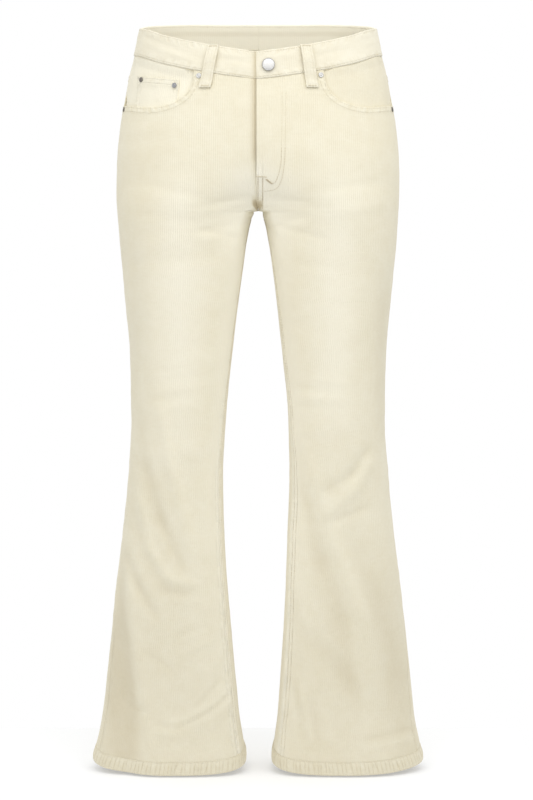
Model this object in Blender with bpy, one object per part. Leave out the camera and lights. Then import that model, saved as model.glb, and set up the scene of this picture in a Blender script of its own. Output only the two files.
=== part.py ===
"""Bootcut jeans in corduroy, filled out as if worn, with no wearer inside.

Metres, +Z up. The front faces -Y and the wearer's left is at +X. The origin is the centre of the
waist opening, level with the waist at the side seams, which is where the wearer holds the jeans up.

Each leg is lofted through flat sections. A point on a section is given by its turn: 0 is the outer
side of the leg, a quarter turn is the front, half a turn is the inner side and minus a quarter turn
is the back. Above the crotch the two legs' sections run into each other, and each is cut off at the
centre plane, where the rise seams lie.
"""

import math

import bmesh
import bpy
import numpy as np
from mathutils import Matrix, Vector
from mathutils.bvhtree import BVHTree

# ---- Driving sizes, in metres --------------------------------------------------------------------
CLOTH = 0.0015
SEAM_GAP = 0.0003
LAYER_GAP = 0.0004

WAISTBAND_HEIGHT = 0.038
WAISTBAND_WALL = 0.0030
WAISTBAND_PROUD = 0.0008
TILT_ENDS_Z = -0.200

FLY_BOTTOM_Z = -0.205

HEM_Z = -1.038
HEM_HEIGHT = 0.020
HEM_WALL = 0.0030
HEM_PROUD = 0.0003
HEM_FRONT_DROP = 0.013
HEM_TILT_STARTS_Z = -0.800

YOKE_SIDE_DEPTH = 0.038
YOKE_CENTRE_DEPTH = 0.072

SIDE_RIVET_TURN = math.radians(12)
MOUTH_DEPTH = 0.069
MOUTH_SQUARENESS = 2.9

COIN_POCKET_INNER_X = -0.111
COIN_POCKET_OUTER_X = -0.166
COIN_POCKET_INNER_DROP = 0.021
COIN_POCKET_OUTER_DROP = 0.026
COIN_POCKET_FOOT_Z = -0.150
COIN_POCKET_FOOT_LEAN = 0.006
COIN_POCKET_WALL = 0.0011

# How far the cloth behind each pocket mouth lies inside the front panel. The right one also carries
# a coin pocket.
BEARER_SINK = {1: CLOTH + LAYER_GAP, -1: CLOTH + 2 * LAYER_GAP + COIN_POCKET_WALL}

BACK_POCKET_CENTRE_X = 0.086
BACK_POCKET_TOP_WIDTH = 0.136
BACK_POCKET_FOOT_WIDTH = 0.118
BACK_POCKET_TOP_Z = -0.108
BACK_POCKET_CORNER_Z = -0.222
BACK_POCKET_POINT_Z = -0.246

LOOP_WIDTH = 0.014
LOOP_WALL = 0.0020
LOOP_BELOW_SEAM = 0.021
LOOP_STAND_OFF = 0.0014

BUTTON_DIAMETER = 0.0175
BUTTON_HEIGHT = 0.0042
BUTTON_X = 0.0142
RIVET_DIAMETER = 0.0072
RIVET_HEIGHT = 0.0014
MOUTH_TOP_RIVET_DROP = 0.0065
MOUTH_SIDE_RIVET_DROP = 0.0070
COIN_RIVET_DROP = 0.007
COIN_RIVET_INSETS = {"outer": 0.005, "inner": -0.008}

# ---- Sections of one leg -------------------------------------------------------------------------
# out and in are the section's outer and inner edges as distances from the centre plane, core is its
# middle, and front and back are its depths before and behind the side. in_right and in_left are
# negative where the section reaches past the centre plane, which cuts it off. square is the exponent
# of the outline: 2 is an ellipse.
SECTION_COLUMNS = ("z", "out", "core", "in_right", "in_left", "front", "back", "square")
SECTIONS = (
    (0.020, 0.1605, 0.0000, -0.1605, -0.1605, 0.0880, 0.0940, 2.20),
    (0.000, 0.1650, 0.0000, -0.1650, -0.1650, 0.0910, 0.0980, 2.20),
    (-0.035, 0.1724, 0.0000, -0.1724, -0.1724, 0.0955, 0.1035, 2.20),
    (-0.067, 0.1810, 0.0000, -0.1810, -0.1810, 0.1000, 0.1100, 2.20),
    (-0.096, 0.1866, 0.0020, -0.1700, -0.1700, 0.1030, 0.1160, 2.20),
    (-0.124, 0.1915, 0.0080, -0.1500, -0.1500, 0.1045, 0.1210, 2.20),
    (-0.153, 0.1955, 0.0200, -0.1250, -0.1250, 0.1050, 0.1240, 2.20),
    (-0.181, 0.1980, 0.0340, -0.0950, -0.0950, 0.1045, 0.1250, 2.20),
    (-0.205, 0.1988, 0.0520, -0.0600, -0.0600, 0.1020, 0.1230, 2.15),
    (-0.225, 0.1990, 0.0720, -0.0300, -0.0300, 0.0990, 0.1180, 2.10),
    (-0.241, 0.1988, 0.0880, -0.0110, -0.0110, 0.0960, 0.1120, 2.10),
    (-0.250, 0.1984, 0.0960, -0.0035, -0.0035, 0.0940, 0.1080, 2.10),
    (-0.255, 0.1980, 0.0990, 0.0000, 0.0000, 0.0930, 0.1060, 2.10),
    (-0.258, 0.1978, 0.1010, 0.0055, 0.0045, 0.0920, 0.1050, 2.10),
    (-0.266, 0.1972, 0.1030, 0.0100, 0.0080, 0.0910, 0.1030, 2.10),
    (-0.295, 0.1955, 0.1050, 0.0157, 0.0140, 0.0870, 0.0980, 2.10),
    (-0.337, 0.1915, 0.1060, 0.0216, 0.0203, 0.0830, 0.0920, 2.10),
    (-0.380, 0.1877, 0.1070, 0.0280, 0.0260, 0.0790, 0.0870, 2.10),
    (-0.465, 0.1812, 0.1090, 0.0382, 0.0352, 0.0730, 0.0790, 2.10),
    (-0.550, 0.1802, 0.1125, 0.0464, 0.0430, 0.0690, 0.0720, 2.10),
    (-0.635, 0.1855, 0.1165, 0.0505, 0.0444, 0.0660, 0.0680, 2.10),
    (-0.721, 0.1945, 0.1190, 0.0486, 0.0416, 0.0630, 0.0680, 2.10),
    (-0.806, 0.2055, 0.1220, 0.0429, 0.0385, 0.0610, 0.0670, 2.10),
    (-0.891, 0.2150, 0.1230, 0.0351, 0.0335, 0.0600, 0.0660, 2.10),
    (-0.976, 0.2245, 0.1250, 0.0270, 0.0270, 0.0580, 0.0640, 2.10),
    (-1.038, 0.2375, 0.1270, 0.0172, 0.0190, 0.0570, 0.0620, 2.10),
    (-1.066, 0.2430, 0.1275, 0.0135, 0.0150, 0.0560, 0.0610, 2.10),
)

# How far each leg seam has turned from the side of the leg towards the front, in degrees.
SEAM_TURN_COLUMNS = ("z", "outseam", "inseam")
SEAM_TURNS = (
    (-0.255, 0.0, 0.0),
    (-0.295, 0.0, 8.0),
    (-0.380, 0.0, 15.0),
    (-0.465, 0.0, 20.0),
    (-0.550, 0.0, 24.0),
    (-0.635, 0.0, 28.0),
    (-0.806, 6.0, 30.0),
    (-0.891, 12.0, 30.0),
    (-1.066, 23.0, 30.0),
)

# How far the waist's top edge lies above its height at the sides. turn is in degrees.
WAIST_COLUMNS = ("turn", "rise")
WAIST_EDGE = (
    (-90.0, 0.0134),
    (-60.0, 0.0127),
    (-45.0, 0.0110),
    (-30.0, 0.0084),
    (-14.0, 0.0046),
    (0.0, 0.0000),
    (22.0, -0.0045),
    (46.0, -0.0170),
    (64.0, -0.0265),
    (78.0, -0.0335),
    (90.0, -0.0390),
)

# The largest folds: soft ridges, or troughs where height is negative. A row is side, turn, z, slant,
# length, width and height. turn and slant are in degrees, and a slant of 0 runs round the leg. length
# and width are the distances at which the fold has died away to about a third.
FOLDS = (
    (-1, 75, -0.300, 12, 0.060, 0.012, 0.0020),
    (1, 80, -0.262, -14, 0.070, 0.013, 0.0018),
    (-1, 95, -0.590, 8, 0.060, 0.014, 0.0020),
    (1, 110, -0.560, -12, 0.060, 0.014, 0.0022),
    (-1, 70, -0.745, -58, 0.090, 0.020, -0.0026),
    (-1, 40, -0.880, -80, 0.110, 0.022, -0.0030),
    (-1, 120, -0.965, 28, 0.075, 0.012, 0.0030),
    (1, 60, -0.800, 70, 0.110, 0.022, -0.0026),
    (1, 128, -0.960, -55, 0.060, 0.014, 0.0028),
    (-1, -95, -0.290, 10, 0.070, 0.014, -0.0022),
    (1, -100, -0.300, -8, 0.070, 0.014, -0.0022),
    (-1, -90, -0.560, -10, 0.060, 0.014, 0.0020),
    (1, -85, -0.580, 12, 0.060, 0.014, 0.0020),
    (-1, -80, -0.860, 72, 0.110, 0.022, -0.0026),
    (1, -95, -0.840, -68, 0.110, 0.022, -0.0026),
)
LEG_RADIUS = 0.085

# Where the belt loops stand round the waist: a name, a side and the turns of the two ends, in degrees.
BELT_LOOPS = (
    ("front_right", -1, 71.7, 69.5),
    ("front_left", 1, 69.9, 68.9),
    ("side_right", -1, -26.0, -26.0),
    ("side_left", 1, -26.0, -26.0),
    ("centre_back", 1, -90.0, -90.0),
)

# A side, and the distances from the centre plane of its pocket mouth's upper end and of the rivet
# beside it.
POCKET_MOUTHS = (
    (-1, 0.0865, 0.0795),
    (1, 0.0895, 0.0850),
)

# ---- Mesh density --------------------------------------------------------------------------------
FRONT_COLUMNS = 14
BACK_COLUMNS = 15
PANEL_LEVELS = tuple(row[0] for row in SECTIONS[3:-2])
BEARER_FIRST_COLUMN = 4
BEARER_ROWS = 4
MOUTH_ROWS = 2
ARC_SAMPLES = 161
TURN_STEP = 1e-3
HEIGHT_STEP = 2e-4

# ---- Finishes, with linear colours ---------------------------------------------------------------
CORDUROY = {"colour": (0.88, 0.83, 0.67, 1.0), "roughness": 0.9, "metallic": 0.0}
METAL = {"colour": (0.78, 0.78, 0.80, 1.0), "roughness": 0.3, "metallic": 1.0}

SIDES = {"right": -1, "left": 1}
QUARTER = math.pi / 2


# ---- Interpolation through a table ---------------------------------------------------------------
def end_slope(step_near, step_far, slope_near, slope_far):
    """The slope at an end of a table, kept from overshooting."""
    slope = ((2 * step_near + step_far) * slope_near - step_near * slope_far) / (step_near + step_far)
    if slope * slope_near <= 0:
        return 0.0
    if slope_near * slope_far <= 0 and abs(slope) > 3 * abs(slope_near):
        return 3 * slope_near
    return slope


def smooth_curve(at, values):
    """A function through the points that is smooth and never overshoots them. at must rise."""
    at = np.array(at, float)
    values = np.array(values, float)
    steps = np.diff(at)
    slopes = np.diff(values) / steps
    inner = np.zeros(len(at))
    for i in range(1, len(at) - 1):
        if slopes[i - 1] * slopes[i] > 0:
            before = 2 * steps[i] + steps[i - 1]
            after = steps[i] + 2 * steps[i - 1]
            inner[i] = (before + after) / (before / slopes[i - 1] + after / slopes[i])
    inner[0] = end_slope(steps[0], steps[1], slopes[0], slopes[1])
    inner[-1] = end_slope(steps[-1], steps[-2], slopes[-1], slopes[-2])

    def curve(x):
        x = np.clip(np.asarray(x, float), at[0], at[-1])
        i = np.clip(np.searchsorted(at, x) - 1, 0, len(steps) - 1)
        t = (x - at[i]) / steps[i]
        start = (1 + 2 * t) * (1 - t) ** 2 * values[i] + t * t * (3 - 2 * t) * values[i + 1]
        return start + steps[i] * (t * (1 - t) ** 2 * inner[i] - t * t * (1 - t) * inner[i + 1])

    return curve


def curves_of(columns, rows):
    """A smooth curve over the first column for each other column of a table."""
    rising = sorted(rows)
    first = [row[0] for row in rising]
    return {name: smooth_curve(first, [row[i] for row in rising]) for i, name in enumerate(columns) if i}


SECTION = curves_of(SECTION_COLUMNS, SECTIONS)
SEAM_TURN = curves_of(SEAM_TURN_COLUMNS, SEAM_TURNS)
WAIST_RISE = curves_of(WAIST_COLUMNS, WAIST_EDGE)["rise"]


# ---- The form of the cloth -----------------------------------------------------------------------
def inner_edge(side, z):
    return SECTION["in_right" if side < 0 else "in_left"](z)


def plain_form(side, turn, z):
    """The outer face of the cloth, with no folds, as an array of points."""
    core = SECTION["core"](z)
    power = 2 / SECTION["square"](z)
    reach_x = np.where(np.cos(turn) > 0, SECTION["out"](z) - core, core - inner_edge(side, z))
    reach_y = np.where(np.sin(turn) > 0, SECTION["front"](z), SECTION["back"](z))
    x = core + reach_x * np.sign(np.cos(turn)) * np.abs(np.cos(turn)) ** power
    y = -reach_y * np.sign(np.sin(turn)) * np.abs(np.sin(turn)) ** power
    return np.stack([side * x, y, z + 0 * x], axis=-1)


def plain_normal(side, turn, z):
    """The outward normals of plain_form."""
    round_leg = plain_form(side, turn + TURN_STEP, z) - plain_form(side, turn - TURN_STEP, z)
    down_leg = plain_form(side, turn, z + HEIGHT_STEP) - plain_form(side, turn, z - HEIGHT_STEP)
    normal = side * np.cross(down_leg, round_leg)
    return normal / np.linalg.norm(normal, axis=-1, keepdims=True)


def fold_height(side, turn, z):
    """How far the folds move the cloth outwards."""
    total = 0 * (turn + z)
    for fold_side, fold_turn, fold_z, slant, length, width, height in FOLDS:
        if fold_side != side:
            continue
        across = LEG_RADIUS * (turn - math.radians(fold_turn))
        up = z - fold_z
        lean = math.radians(slant)
        along = across * math.cos(lean) + up * math.sin(lean)
        beside = up * math.cos(lean) - across * math.sin(lean)
        total = total + height * np.exp(-((along / length) ** 2) - (beside / width) ** 2)
    return total


def cloth_point(side, turn, z, lift=0.0):
    """The outer face of the cloth, moved out by lift."""
    turn, z = np.broadcast_arrays(np.asarray(turn, float), np.asarray(z, float))
    out = fold_height(side, turn, z) + lift
    return plain_form(side, turn, z) + plain_normal(side, turn, z) * out[..., None]


# ---- Where the seams and edges run ---------------------------------------------------------------
def centre_turn(side, z):
    """How far round the section meets the centre plane, or the inner side of the leg below the crotch."""
    core = SECTION["core"](z) - SEAM_GAP / 2
    share = np.clip(core / (SECTION["core"](z) - inner_edge(side, z)), 0, 1)
    return math.pi - np.arccos(share ** (SECTION["square"](z) / 2))


def front_inner_turn(side, z):
    return centre_turn(side, z) - np.radians(SEAM_TURN["inseam"](z))


def back_inner_turn(side, z):
    return -centre_turn(side, z) - np.radians(SEAM_TURN["inseam"](z))


def side_turn(z):
    return np.radians(SEAM_TURN["outseam"](z))


def panel_turn(side, panel, share, z):
    """The turn at a share of the way round a panel, by length of cloth, from its centre or inseam edge
    (0) to the side seam (1). The edges stop half a seam gap short of the seam."""
    share, z = np.broadcast_arrays(np.asarray(share, float), np.asarray(z, float))
    inner = front_inner_turn(side, z) if panel == "front" else back_inner_turn(side, z)
    walk = np.linspace(0, 1, ARC_SAMPLES)
    turns = inner[..., None] + (side_turn(z) - inner)[..., None] * walk
    points = plain_form(side, turns, z[..., None] + 0 * turns)
    lengths = np.linalg.norm(np.diff(points, axis=-2), axis=-1)
    run = np.concatenate([np.zeros(lengths.shape[:-1] + (1,)), np.cumsum(lengths, axis=-1)], axis=-1)
    asked = SEAM_GAP / 2 + share * (run[..., -1] - SEAM_GAP)
    runs, all_turns = run.reshape(-1, ARC_SAMPLES), turns.reshape(-1, ARC_SAMPLES)
    found = [np.interp(a, r, t) for a, r, t in zip(asked.ravel(), runs, all_turns)]
    return np.array(found).reshape(asked.shape)


def waist_edge(turn):
    return WAIST_RISE(np.degrees(turn))


def waist_seam(turn):
    return waist_edge(turn) - WAISTBAND_HEIGHT


def hem_dip(turn):
    """How far the hem lies above the side's, round the leg: lowest in front, and flattening out behind."""
    front = np.clip(np.sin(turn), 0, 1)
    back = np.clip(-np.sin(turn), 0, 1)
    return HEM_FRONT_DROP * (back - back**2 / 2 - front)


def tilted(level, turn):
    """A level line, following the waist near the top and the hem near the bottom."""
    at_waist = np.clip((level - TILT_ENDS_Z) / -TILT_ENDS_Z, 0, 1)
    at_hem = np.clip((HEM_TILT_STARTS_Z - level) / (HEM_TILT_STARTS_Z - HEM_Z), 0, 1)
    return level + at_waist * waist_edge(turn) + at_hem * hem_dip(turn)


def hem_edge(turn):
    return HEM_Z + hem_dip(turn)


def hem_seam(turn):
    return hem_edge(turn) + HEM_HEIGHT


def yoke_seam(turn):
    back = np.clip(-np.sin(turn), 0, 1)
    return waist_seam(turn) - YOKE_SIDE_DEPTH - (YOKE_CENTRE_DEPTH - YOKE_SIDE_DEPTH) * back**1.5


def front_turn(x, height_of):
    """The turn at which a line across the front lies at a distance x from the centre plane."""
    turns = np.linspace(0, QUARTER, ARC_SAMPLES)
    across = plain_form(1, turns, height_of(turns))[:, 0]
    return float(np.interp(abs(x), across[::-1], turns[::-1]))


def settle(side, panel, shares, height_of):
    """The turns and heights of a line across a panel whose height depends on the turn."""
    heights = height_of(np.full(len(shares), QUARTER if panel == "front" else -QUARTER))
    for _ in range(4):
        turns = panel_turn(side, panel, shares, heights)
        heights = height_of(turns)
    return turns, heights


# ---- Building sheets and walls -------------------------------------------------------------------
def own_material(name, finish):
    made = bpy.data.materials.new(name)
    made.use_nodes = True
    shader = made.node_tree.nodes["Principled BSDF"]
    shader.inputs["Base Color"].default_value = finish["colour"]
    shader.inputs["Roughness"].default_value = finish["roughness"]
    shader.inputs["Metallic"].default_value = finish["metallic"]
    return made


def new_object(name, bm, finish):
    mesh = bpy.data.meshes.new(name)
    bm.to_mesh(mesh)
    bm.free()
    mesh.materials.append(own_material(name, finish))
    mesh.shade_smooth()
    mesh.set_sharp_from_angle(angle=math.radians(40))
    made = bpy.data.objects.new(name, mesh)
    bpy.context.scene.collection.objects.link(made)
    return made


def thicken(made, wall, outwards=False):
    """Makes an open sheet a wall, inwards from its face unless outwards is asked for."""
    solid = made.modifiers.new("wall", "SOLIDIFY")
    solid.thickness = wall
    solid.offset = 1.0 if outwards else -1.0
    solid.use_rim = True
    return made


def sheet(grid, closed_round=False):
    """A bmesh of triangles through rows of points. Its faces point to the side from which the rows'
    points run left to right when the rows run down."""
    bm = bmesh.new()
    rows = [[bm.verts.new(point) for point in row] for row in grid]
    for upper, lower in zip(rows, rows[1:]):
        across = len(upper) if closed_round else len(upper) - 1
        for i in range(across):
            j = (i + 1) % len(upper)
            bm.faces.new((upper[i], lower[i], lower[j]))
            bm.faces.new((upper[i], lower[j], upper[j]))
    return bm


def close_wall(bm, inner_points):
    """Makes a sheet a closed wall whose other face has a point for each vertex of the sheet, in order."""
    faces = list(bm.faces)
    inner = dict(zip(list(bm.verts), [bm.verts.new(point) for point in inner_points]))
    border = [edge.link_loops[0] for edge in bm.edges if edge.is_boundary]
    ends = [(loop.vert, loop.link_loop_next.vert) for loop in border]
    for face in faces:
        bm.faces.new([inner[vert] for vert in reversed(face.verts)])
    for a, b in ends:
        bm.faces.new((b, a, inner[a], inner[b]))
    return bm


def facing_out(bm, side_of_row):
    """Turns the sheet over if its columns run the other way round the leg."""
    if side_of_row < 0:
        bmesh.ops.reverse_faces(bm, faces=bm.faces)
    return bm


def panel_grid(side, panel, top_of, levels, foot_of, columns):
    """The turns and heights of a panel's rows, from its top edge down to its foot."""
    shares = np.linspace(0, 1, columns + 1)
    rows = [settle(side, panel, shares, lambda turn: top_of(turn) - SEAM_GAP / 2)]
    rows += [settle(side, panel, shares, lambda turn, level=level: tilted(level, turn)) for level in levels]
    rows.append(settle(side, panel, shares, lambda turn: foot_of(turn) + SEAM_GAP / 2))
    return rows


def lifted(side, rows, lift):
    return [cloth_point(side, turns, heights, lift) for turns, heights in rows]


def way_round(side, panel):
    """1 where a panel's columns run so that its faces point out, and -1 where it has to be turned over."""
    return side if panel == "front" else -side


def wall(name, side, panel, rows, thickness, finish, lift=0.0, closed_round=False):
    """A closed wall whose outer face lies at lift from the garment's form."""
    bm = facing_out(sheet(lifted(side, rows, lift), closed_round), way_round(side, panel))
    inner_points = np.concatenate(lifted(side, rows, lift - thickness))
    return new_object(name, close_wall(bm, inner_points), finish)


# ---- The sewn pieces -----------------------------------------------------------------------------
def front_rows(side):
    return panel_grid(side, "front", waist_seam, PANEL_LEVELS, hem_seam, FRONT_COLUMNS)


def mouth_depth(share):
    """How far below the waist seam the mouth's edge lies, at a share of its width from its upper end."""
    rest = np.clip(1 - share, 0, 1)
    return MOUTH_DEPTH * (1 - rest**MOUTH_SQUARENESS) ** (1 / MOUTH_SQUARENESS)


def mouth_cutter(side, start_x, finish):
    """A thick curved slab that takes the scooped pocket mouth out of a front panel."""
    start = front_turn(start_x, waist_seam)
    shares = np.concatenate([np.linspace(0, 1, 17) ** 2.2, [1.12]])
    turns = start * (1 - shares)
    edge = waist_seam(turns) - mouth_depth(shares)
    above = waist_seam(turns) + 0.008
    rows = [(turns, above + (edge - above) * down) for down in (0.0, 0.5, 1.0)]
    bm = facing_out(sheet(lifted(side, rows, 0.0)), way_round(side, "front"))
    cutter = new_object(f"mouth_cutter_{side}", bm, finish)
    solid = cutter.modifiers.new("slab", "SOLIDIFY")
    solid.thickness = 0.012
    solid.offset = 0.0
    cutter.hide_render = True
    cutter.display_type = "WIRE"
    return cutter


def front_panel(name, side, rows, start_x, finish):
    panel = wall(f"front_{name}", side, "front", rows, CLOTH, finish)
    cut = panel.modifiers.new("pocket_mouth", "BOOLEAN")
    cut.operation = "DIFFERENCE"
    cut.solver = "EXACT"
    cut.object = mouth_cutter(side, start_x, finish)
    return panel


def bearer_grid(side, rows, lift=0.0):
    """The points of the cloth seen through a pocket mouth, moved out by lift. It lies inside the front
    panel and comes out to the side seam above the mouth."""
    grid = []
    for i, (turns, heights) in enumerate(rows[:BEARER_ROWS]):
        sinks = np.full(len(turns), BEARER_SINK[side])
        sinks[-1] *= i >= MOUTH_ROWS
        grid.append(cloth_point(side, turns, heights, lift - sinks)[BEARER_FIRST_COLUMN:])
    return grid


def bearer(name, side, rows, finish):
    bm = facing_out(sheet(bearer_grid(side, rows)), way_round(side, "front"))
    inner_points = np.concatenate(bearer_grid(side, rows, -CLOTH))
    return new_object(f"pocket_bearer_{name}", close_wall(bm, inner_points), finish)


def clipped(bm, planes):
    """Cuts a sheet down to what lies behind every plane, given as a point and the way that it faces."""
    for point, direction in planes:
        geometry = bm.verts[:] + bm.edges[:] + bm.faces[:]
        bmesh.ops.bisect_plane(
            bm, geom=geometry, dist=1e-6, plane_co=point, plane_no=direction, clear_outer=True
        )
    return bm


def line_plane(a, b):
    """The upright plane through two (x, z) points, facing the right-hand side of the way from a to b,
    as seen from the front."""
    along = Vector((b[0] - a[0], 0, b[1] - a[1]))
    return Vector((a[0], 0, a[1])), Vector((along.z, 0, -along.x))


def coin_pocket(rows, finish):
    side = SIDES["right"]
    lift = COIN_POCKET_WALL + LAYER_GAP
    bm = facing_out(sheet(bearer_grid(side, rows, lift)), way_round(side, "front"))
    corners = coin_pocket_corners()
    planes = [line_plane(a, b) for a, b in zip(corners[1:] + corners[:1], corners)][:3]
    return thicken(new_object("coin_pocket", clipped(bm, planes), finish), COIN_POCKET_WALL)


def below_seam(x, drop):
    """The (x, z) point on the right front that lies a drop below the waist seam."""
    return x, float(waist_seam(front_turn(x, waist_seam))) - drop


def coin_pocket_corners():
    """The top outer, top inner, lower inner and lower outer corners, as (x, z)."""
    top_outer = below_seam(COIN_POCKET_OUTER_X, COIN_POCKET_OUTER_DROP)
    top_inner = below_seam(COIN_POCKET_INNER_X, COIN_POCKET_INNER_DROP)
    foot_inner = (COIN_POCKET_INNER_X - COIN_POCKET_FOOT_LEAN, COIN_POCKET_FOOT_Z)
    return top_outer, top_inner, foot_inner, (COIN_POCKET_OUTER_X, COIN_POCKET_FOOT_Z)


def back_rows(side):
    levels = [level for level in PANEL_LEVELS if level < -0.125]
    return panel_grid(side, "back", yoke_seam, levels, hem_seam, BACK_COLUMNS)


def yoke(name, side, finish):
    shares = np.linspace(0, 1, BACK_COLUMNS + 1)
    top = settle(side, "back", shares, lambda turn: waist_seam(turn) - SEAM_GAP / 2)
    middle = settle(side, "back", shares, lambda turn: (waist_seam(turn) + yoke_seam(turn)) / 2)
    foot = settle(side, "back", shares, lambda turn: yoke_seam(turn) + SEAM_GAP / 2)
    return wall(f"yoke_{name}", side, "back", [top, middle, foot], CLOTH, finish)


def back_pocket(name, side, rows, finish):
    """A patch pocket with a pointed foot, cut from the back panel's own points and moved out."""
    bm = facing_out(sheet(lifted(side, rows, LAYER_GAP)), way_round(side, "back"))
    centre = side * BACK_POCKET_CENTRE_X
    half_top, half_foot = BACK_POCKET_TOP_WIDTH / 2, BACK_POCKET_FOOT_WIDTH / 2
    outline = (
        (centre - half_top, BACK_POCKET_TOP_Z),
        (centre + half_top, BACK_POCKET_TOP_Z),
        (centre + half_foot, BACK_POCKET_CORNER_Z),
        (centre, BACK_POCKET_POINT_Z),
        (centre - half_foot, BACK_POCKET_CORNER_Z),
    )
    behind = (Vector((0, 0.03, 0)), Vector((0, -1, 0)))
    planes = [behind] + [line_plane(b, a) for a, b in zip(outline, outline[1:] + outline[:1])]
    return thicken(new_object(f"back_pocket_{name}", clipped(bm, planes), finish), CLOTH, outwards=True)


def waistband(name, side, finish):
    """Half of the waistband, from the centre front, where it buttons, round to the centre back."""
    ends = []
    for edge in (waist_edge, lambda turn: waist_seam(turn) + SEAM_GAP / 2):
        front = settle(side, "front", np.linspace(0, 1, FRONT_COLUMNS + 1), edge)
        back = settle(side, "back", np.linspace(1, 0, BACK_COLUMNS + 1), edge)
        turns = np.concatenate([front[0][:-1], [0.0], back[0][1:]])
        ends.append((turns, edge(turns)))
    top, foot = ends
    middle = ((top[0] + foot[0]) / 2, (top[1] + foot[1]) / 2)
    rows = [top, middle, foot]
    return wall(f"waistband_{name}", side, "front", rows, WAISTBAND_WALL, finish, WAISTBAND_PROUD)


def hem(name, side, finish):
    """The turned-up hem, a band all round the foot of the leg."""
    rows = []
    for edge in (lambda turn: hem_seam(turn) - SEAM_GAP / 2, hem_edge):
        front = settle(side, "front", np.linspace(0, 1, FRONT_COLUMNS + 1), edge)[0]
        back = settle(side, "back", np.linspace(1, 0, BACK_COLUMNS + 1), edge)[0]
        turns = np.concatenate([front[:-1], [(front[-1] + back[0]) / 2], back[1:-1]])
        turns[0] = (front[0] + back[-1] + 2 * math.pi) / 2
        rows.append((turns, edge(turns)))
    return wall(f"hem_{name}", side, "front", rows, HEM_WALL, finish, HEM_PROUD, closed_round=True)


def fly_shield(finish):
    """The strip of cloth behind the fly opening, on the front panels' own points."""
    sink = CLOTH + 2 * LAYER_GAP
    grid = []
    for right, left in zip(front_rows_of[-1], front_rows_of[1]):
        turn, height = left[0][0], left[1][0]
        centre = cloth_point(1, turn, height)
        centre += Vector((-centre[0], sink / abs(plain_normal(1, turn, height)[1]), 0))
        right_edge = cloth_point(-1, right[0][1], right[1][1], -sink)
        grid.append([right_edge, centre, *cloth_point(1, left[0][1:3], left[1][1:3], -sink)])
        if height < FLY_BOTTOM_Z:
            break
    return thicken(new_object("fly_shield", sheet(grid), finish), CLOTH)


def belt_loop(name, side, top_turn, foot_turn, finish):
    """A flat strip from the waist's top edge to just below the waist seam, standing a little off the band."""
    rests = WAISTBAND_PROUD + LAYER_GAP
    length = WAISTBAND_HEIGHT + LOOP_BELOW_SEAM
    stations = (
        (-0.0008, rests),
        (0.004, rests + LOOP_STAND_OFF / 2),
        (WAISTBAND_HEIGHT / 2, rests + LOOP_STAND_OFF),
        (WAISTBAND_HEIGHT - 0.004, rests + LOOP_STAND_OFF / 2),
        (WAISTBAND_HEIGHT + 0.004, rests),
        (length, 2 * LAYER_GAP),
    )
    grid = []
    for down, lift in stations:
        turn = top_turn + (foot_turn - top_turn) * down / length
        z = float(waist_edge(turn)) - down
        middle = cloth_point(side, turn, z, lift)
        before, after = (cloth_point(side, turn + step, z, lift) for step in (0.01, -0.01))
        across = side * (after - before) / np.linalg.norm(after - before) * LOOP_WIDTH / 2
        grid.append([middle - across, middle, middle + across])
    return thicken(new_object(f"belt_loop_{name}", sheet(grid), finish), LOOP_WALL, outwards=True)


# ---- The metal pieces ----------------------------------------------------------------------------
def turned(name, profile, steps, finish):
    """A solid turned about Z from (radius, height) points that start and end on the axis."""
    bm = bmesh.new()
    verts = [bm.verts.new((radius, 0, height)) for radius, height in profile]
    edges = [bm.edges.new(pair) for pair in zip(verts, verts[1:])]
    bmesh.ops.spin(
        bm,
        geom=verts + edges,
        cent=(0, 0, 0),
        axis=(0, 0, 1),
        angle=2 * math.pi,
        steps=steps,
        use_merge=True,
    )
    bmesh.ops.remove_doubles(bm, verts=bm.verts, dist=1e-6)
    bmesh.ops.recalc_face_normals(bm, faces=bm.faces)
    return new_object(name, bm, finish)


def seat(made, carrier, near):
    """Puts a turned piece on a carrier's face nearest to a point, a seam gap clear of it."""
    graph = bpy.context.evaluated_depsgraph_get()
    tree = BVHTree.FromObject(carrier, graph)
    place, normal, _, _ = tree.find_nearest(Vector(near))
    turn = normal.to_track_quat("Z", "Y").to_matrix().to_4x4()
    made.matrix_world = Matrix.Translation(place + normal * SEAM_GAP) @ turn
    return made


def shank_button(carrier, finish):
    radius = BUTTON_DIAMETER / 2
    neck, rim, dish = radius * 0.45, radius * 0.86, radius * 0.70
    profile = (
        (0.0, 0.0),
        (neck, 0.0),
        (neck, BUTTON_HEIGHT * 0.35),
        (rim, BUTTON_HEIGHT * 0.42),
        (radius, BUTTON_HEIGHT * 0.66),
        (radius * 0.96, BUTTON_HEIGHT * 0.88),
        (rim, BUTTON_HEIGHT),
        (dish, BUTTON_HEIGHT * 0.86),
        (0.0, BUTTON_HEIGHT * 0.93),
    )
    turn = front_turn(BUTTON_X, waist_seam)
    near = cloth_point(1, turn, waist_edge(turn) - WAISTBAND_HEIGHT / 2, 0.01)
    return seat(turned("shank_button", profile, 20, finish), carrier, near)


def rivet(name, carrier, near, finish):
    radius = RIVET_DIAMETER / 2
    profile = (
        (0.0, 0.0),
        (radius, 0.0),
        (radius * 0.96, RIVET_HEIGHT * 0.6),
        (radius * 0.62, RIVET_HEIGHT * 0.8),
        (radius * 0.45, RIVET_HEIGHT),
        (0.0, RIVET_HEIGHT * 0.95),
    )
    return seat(turned(f"rivet_{name}", profile, 12, finish), carrier, near)


# ---- The whole garment ---------------------------------------------------------------------------
for old in list(bpy.data.objects):
    bpy.data.objects.remove(old)

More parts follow.
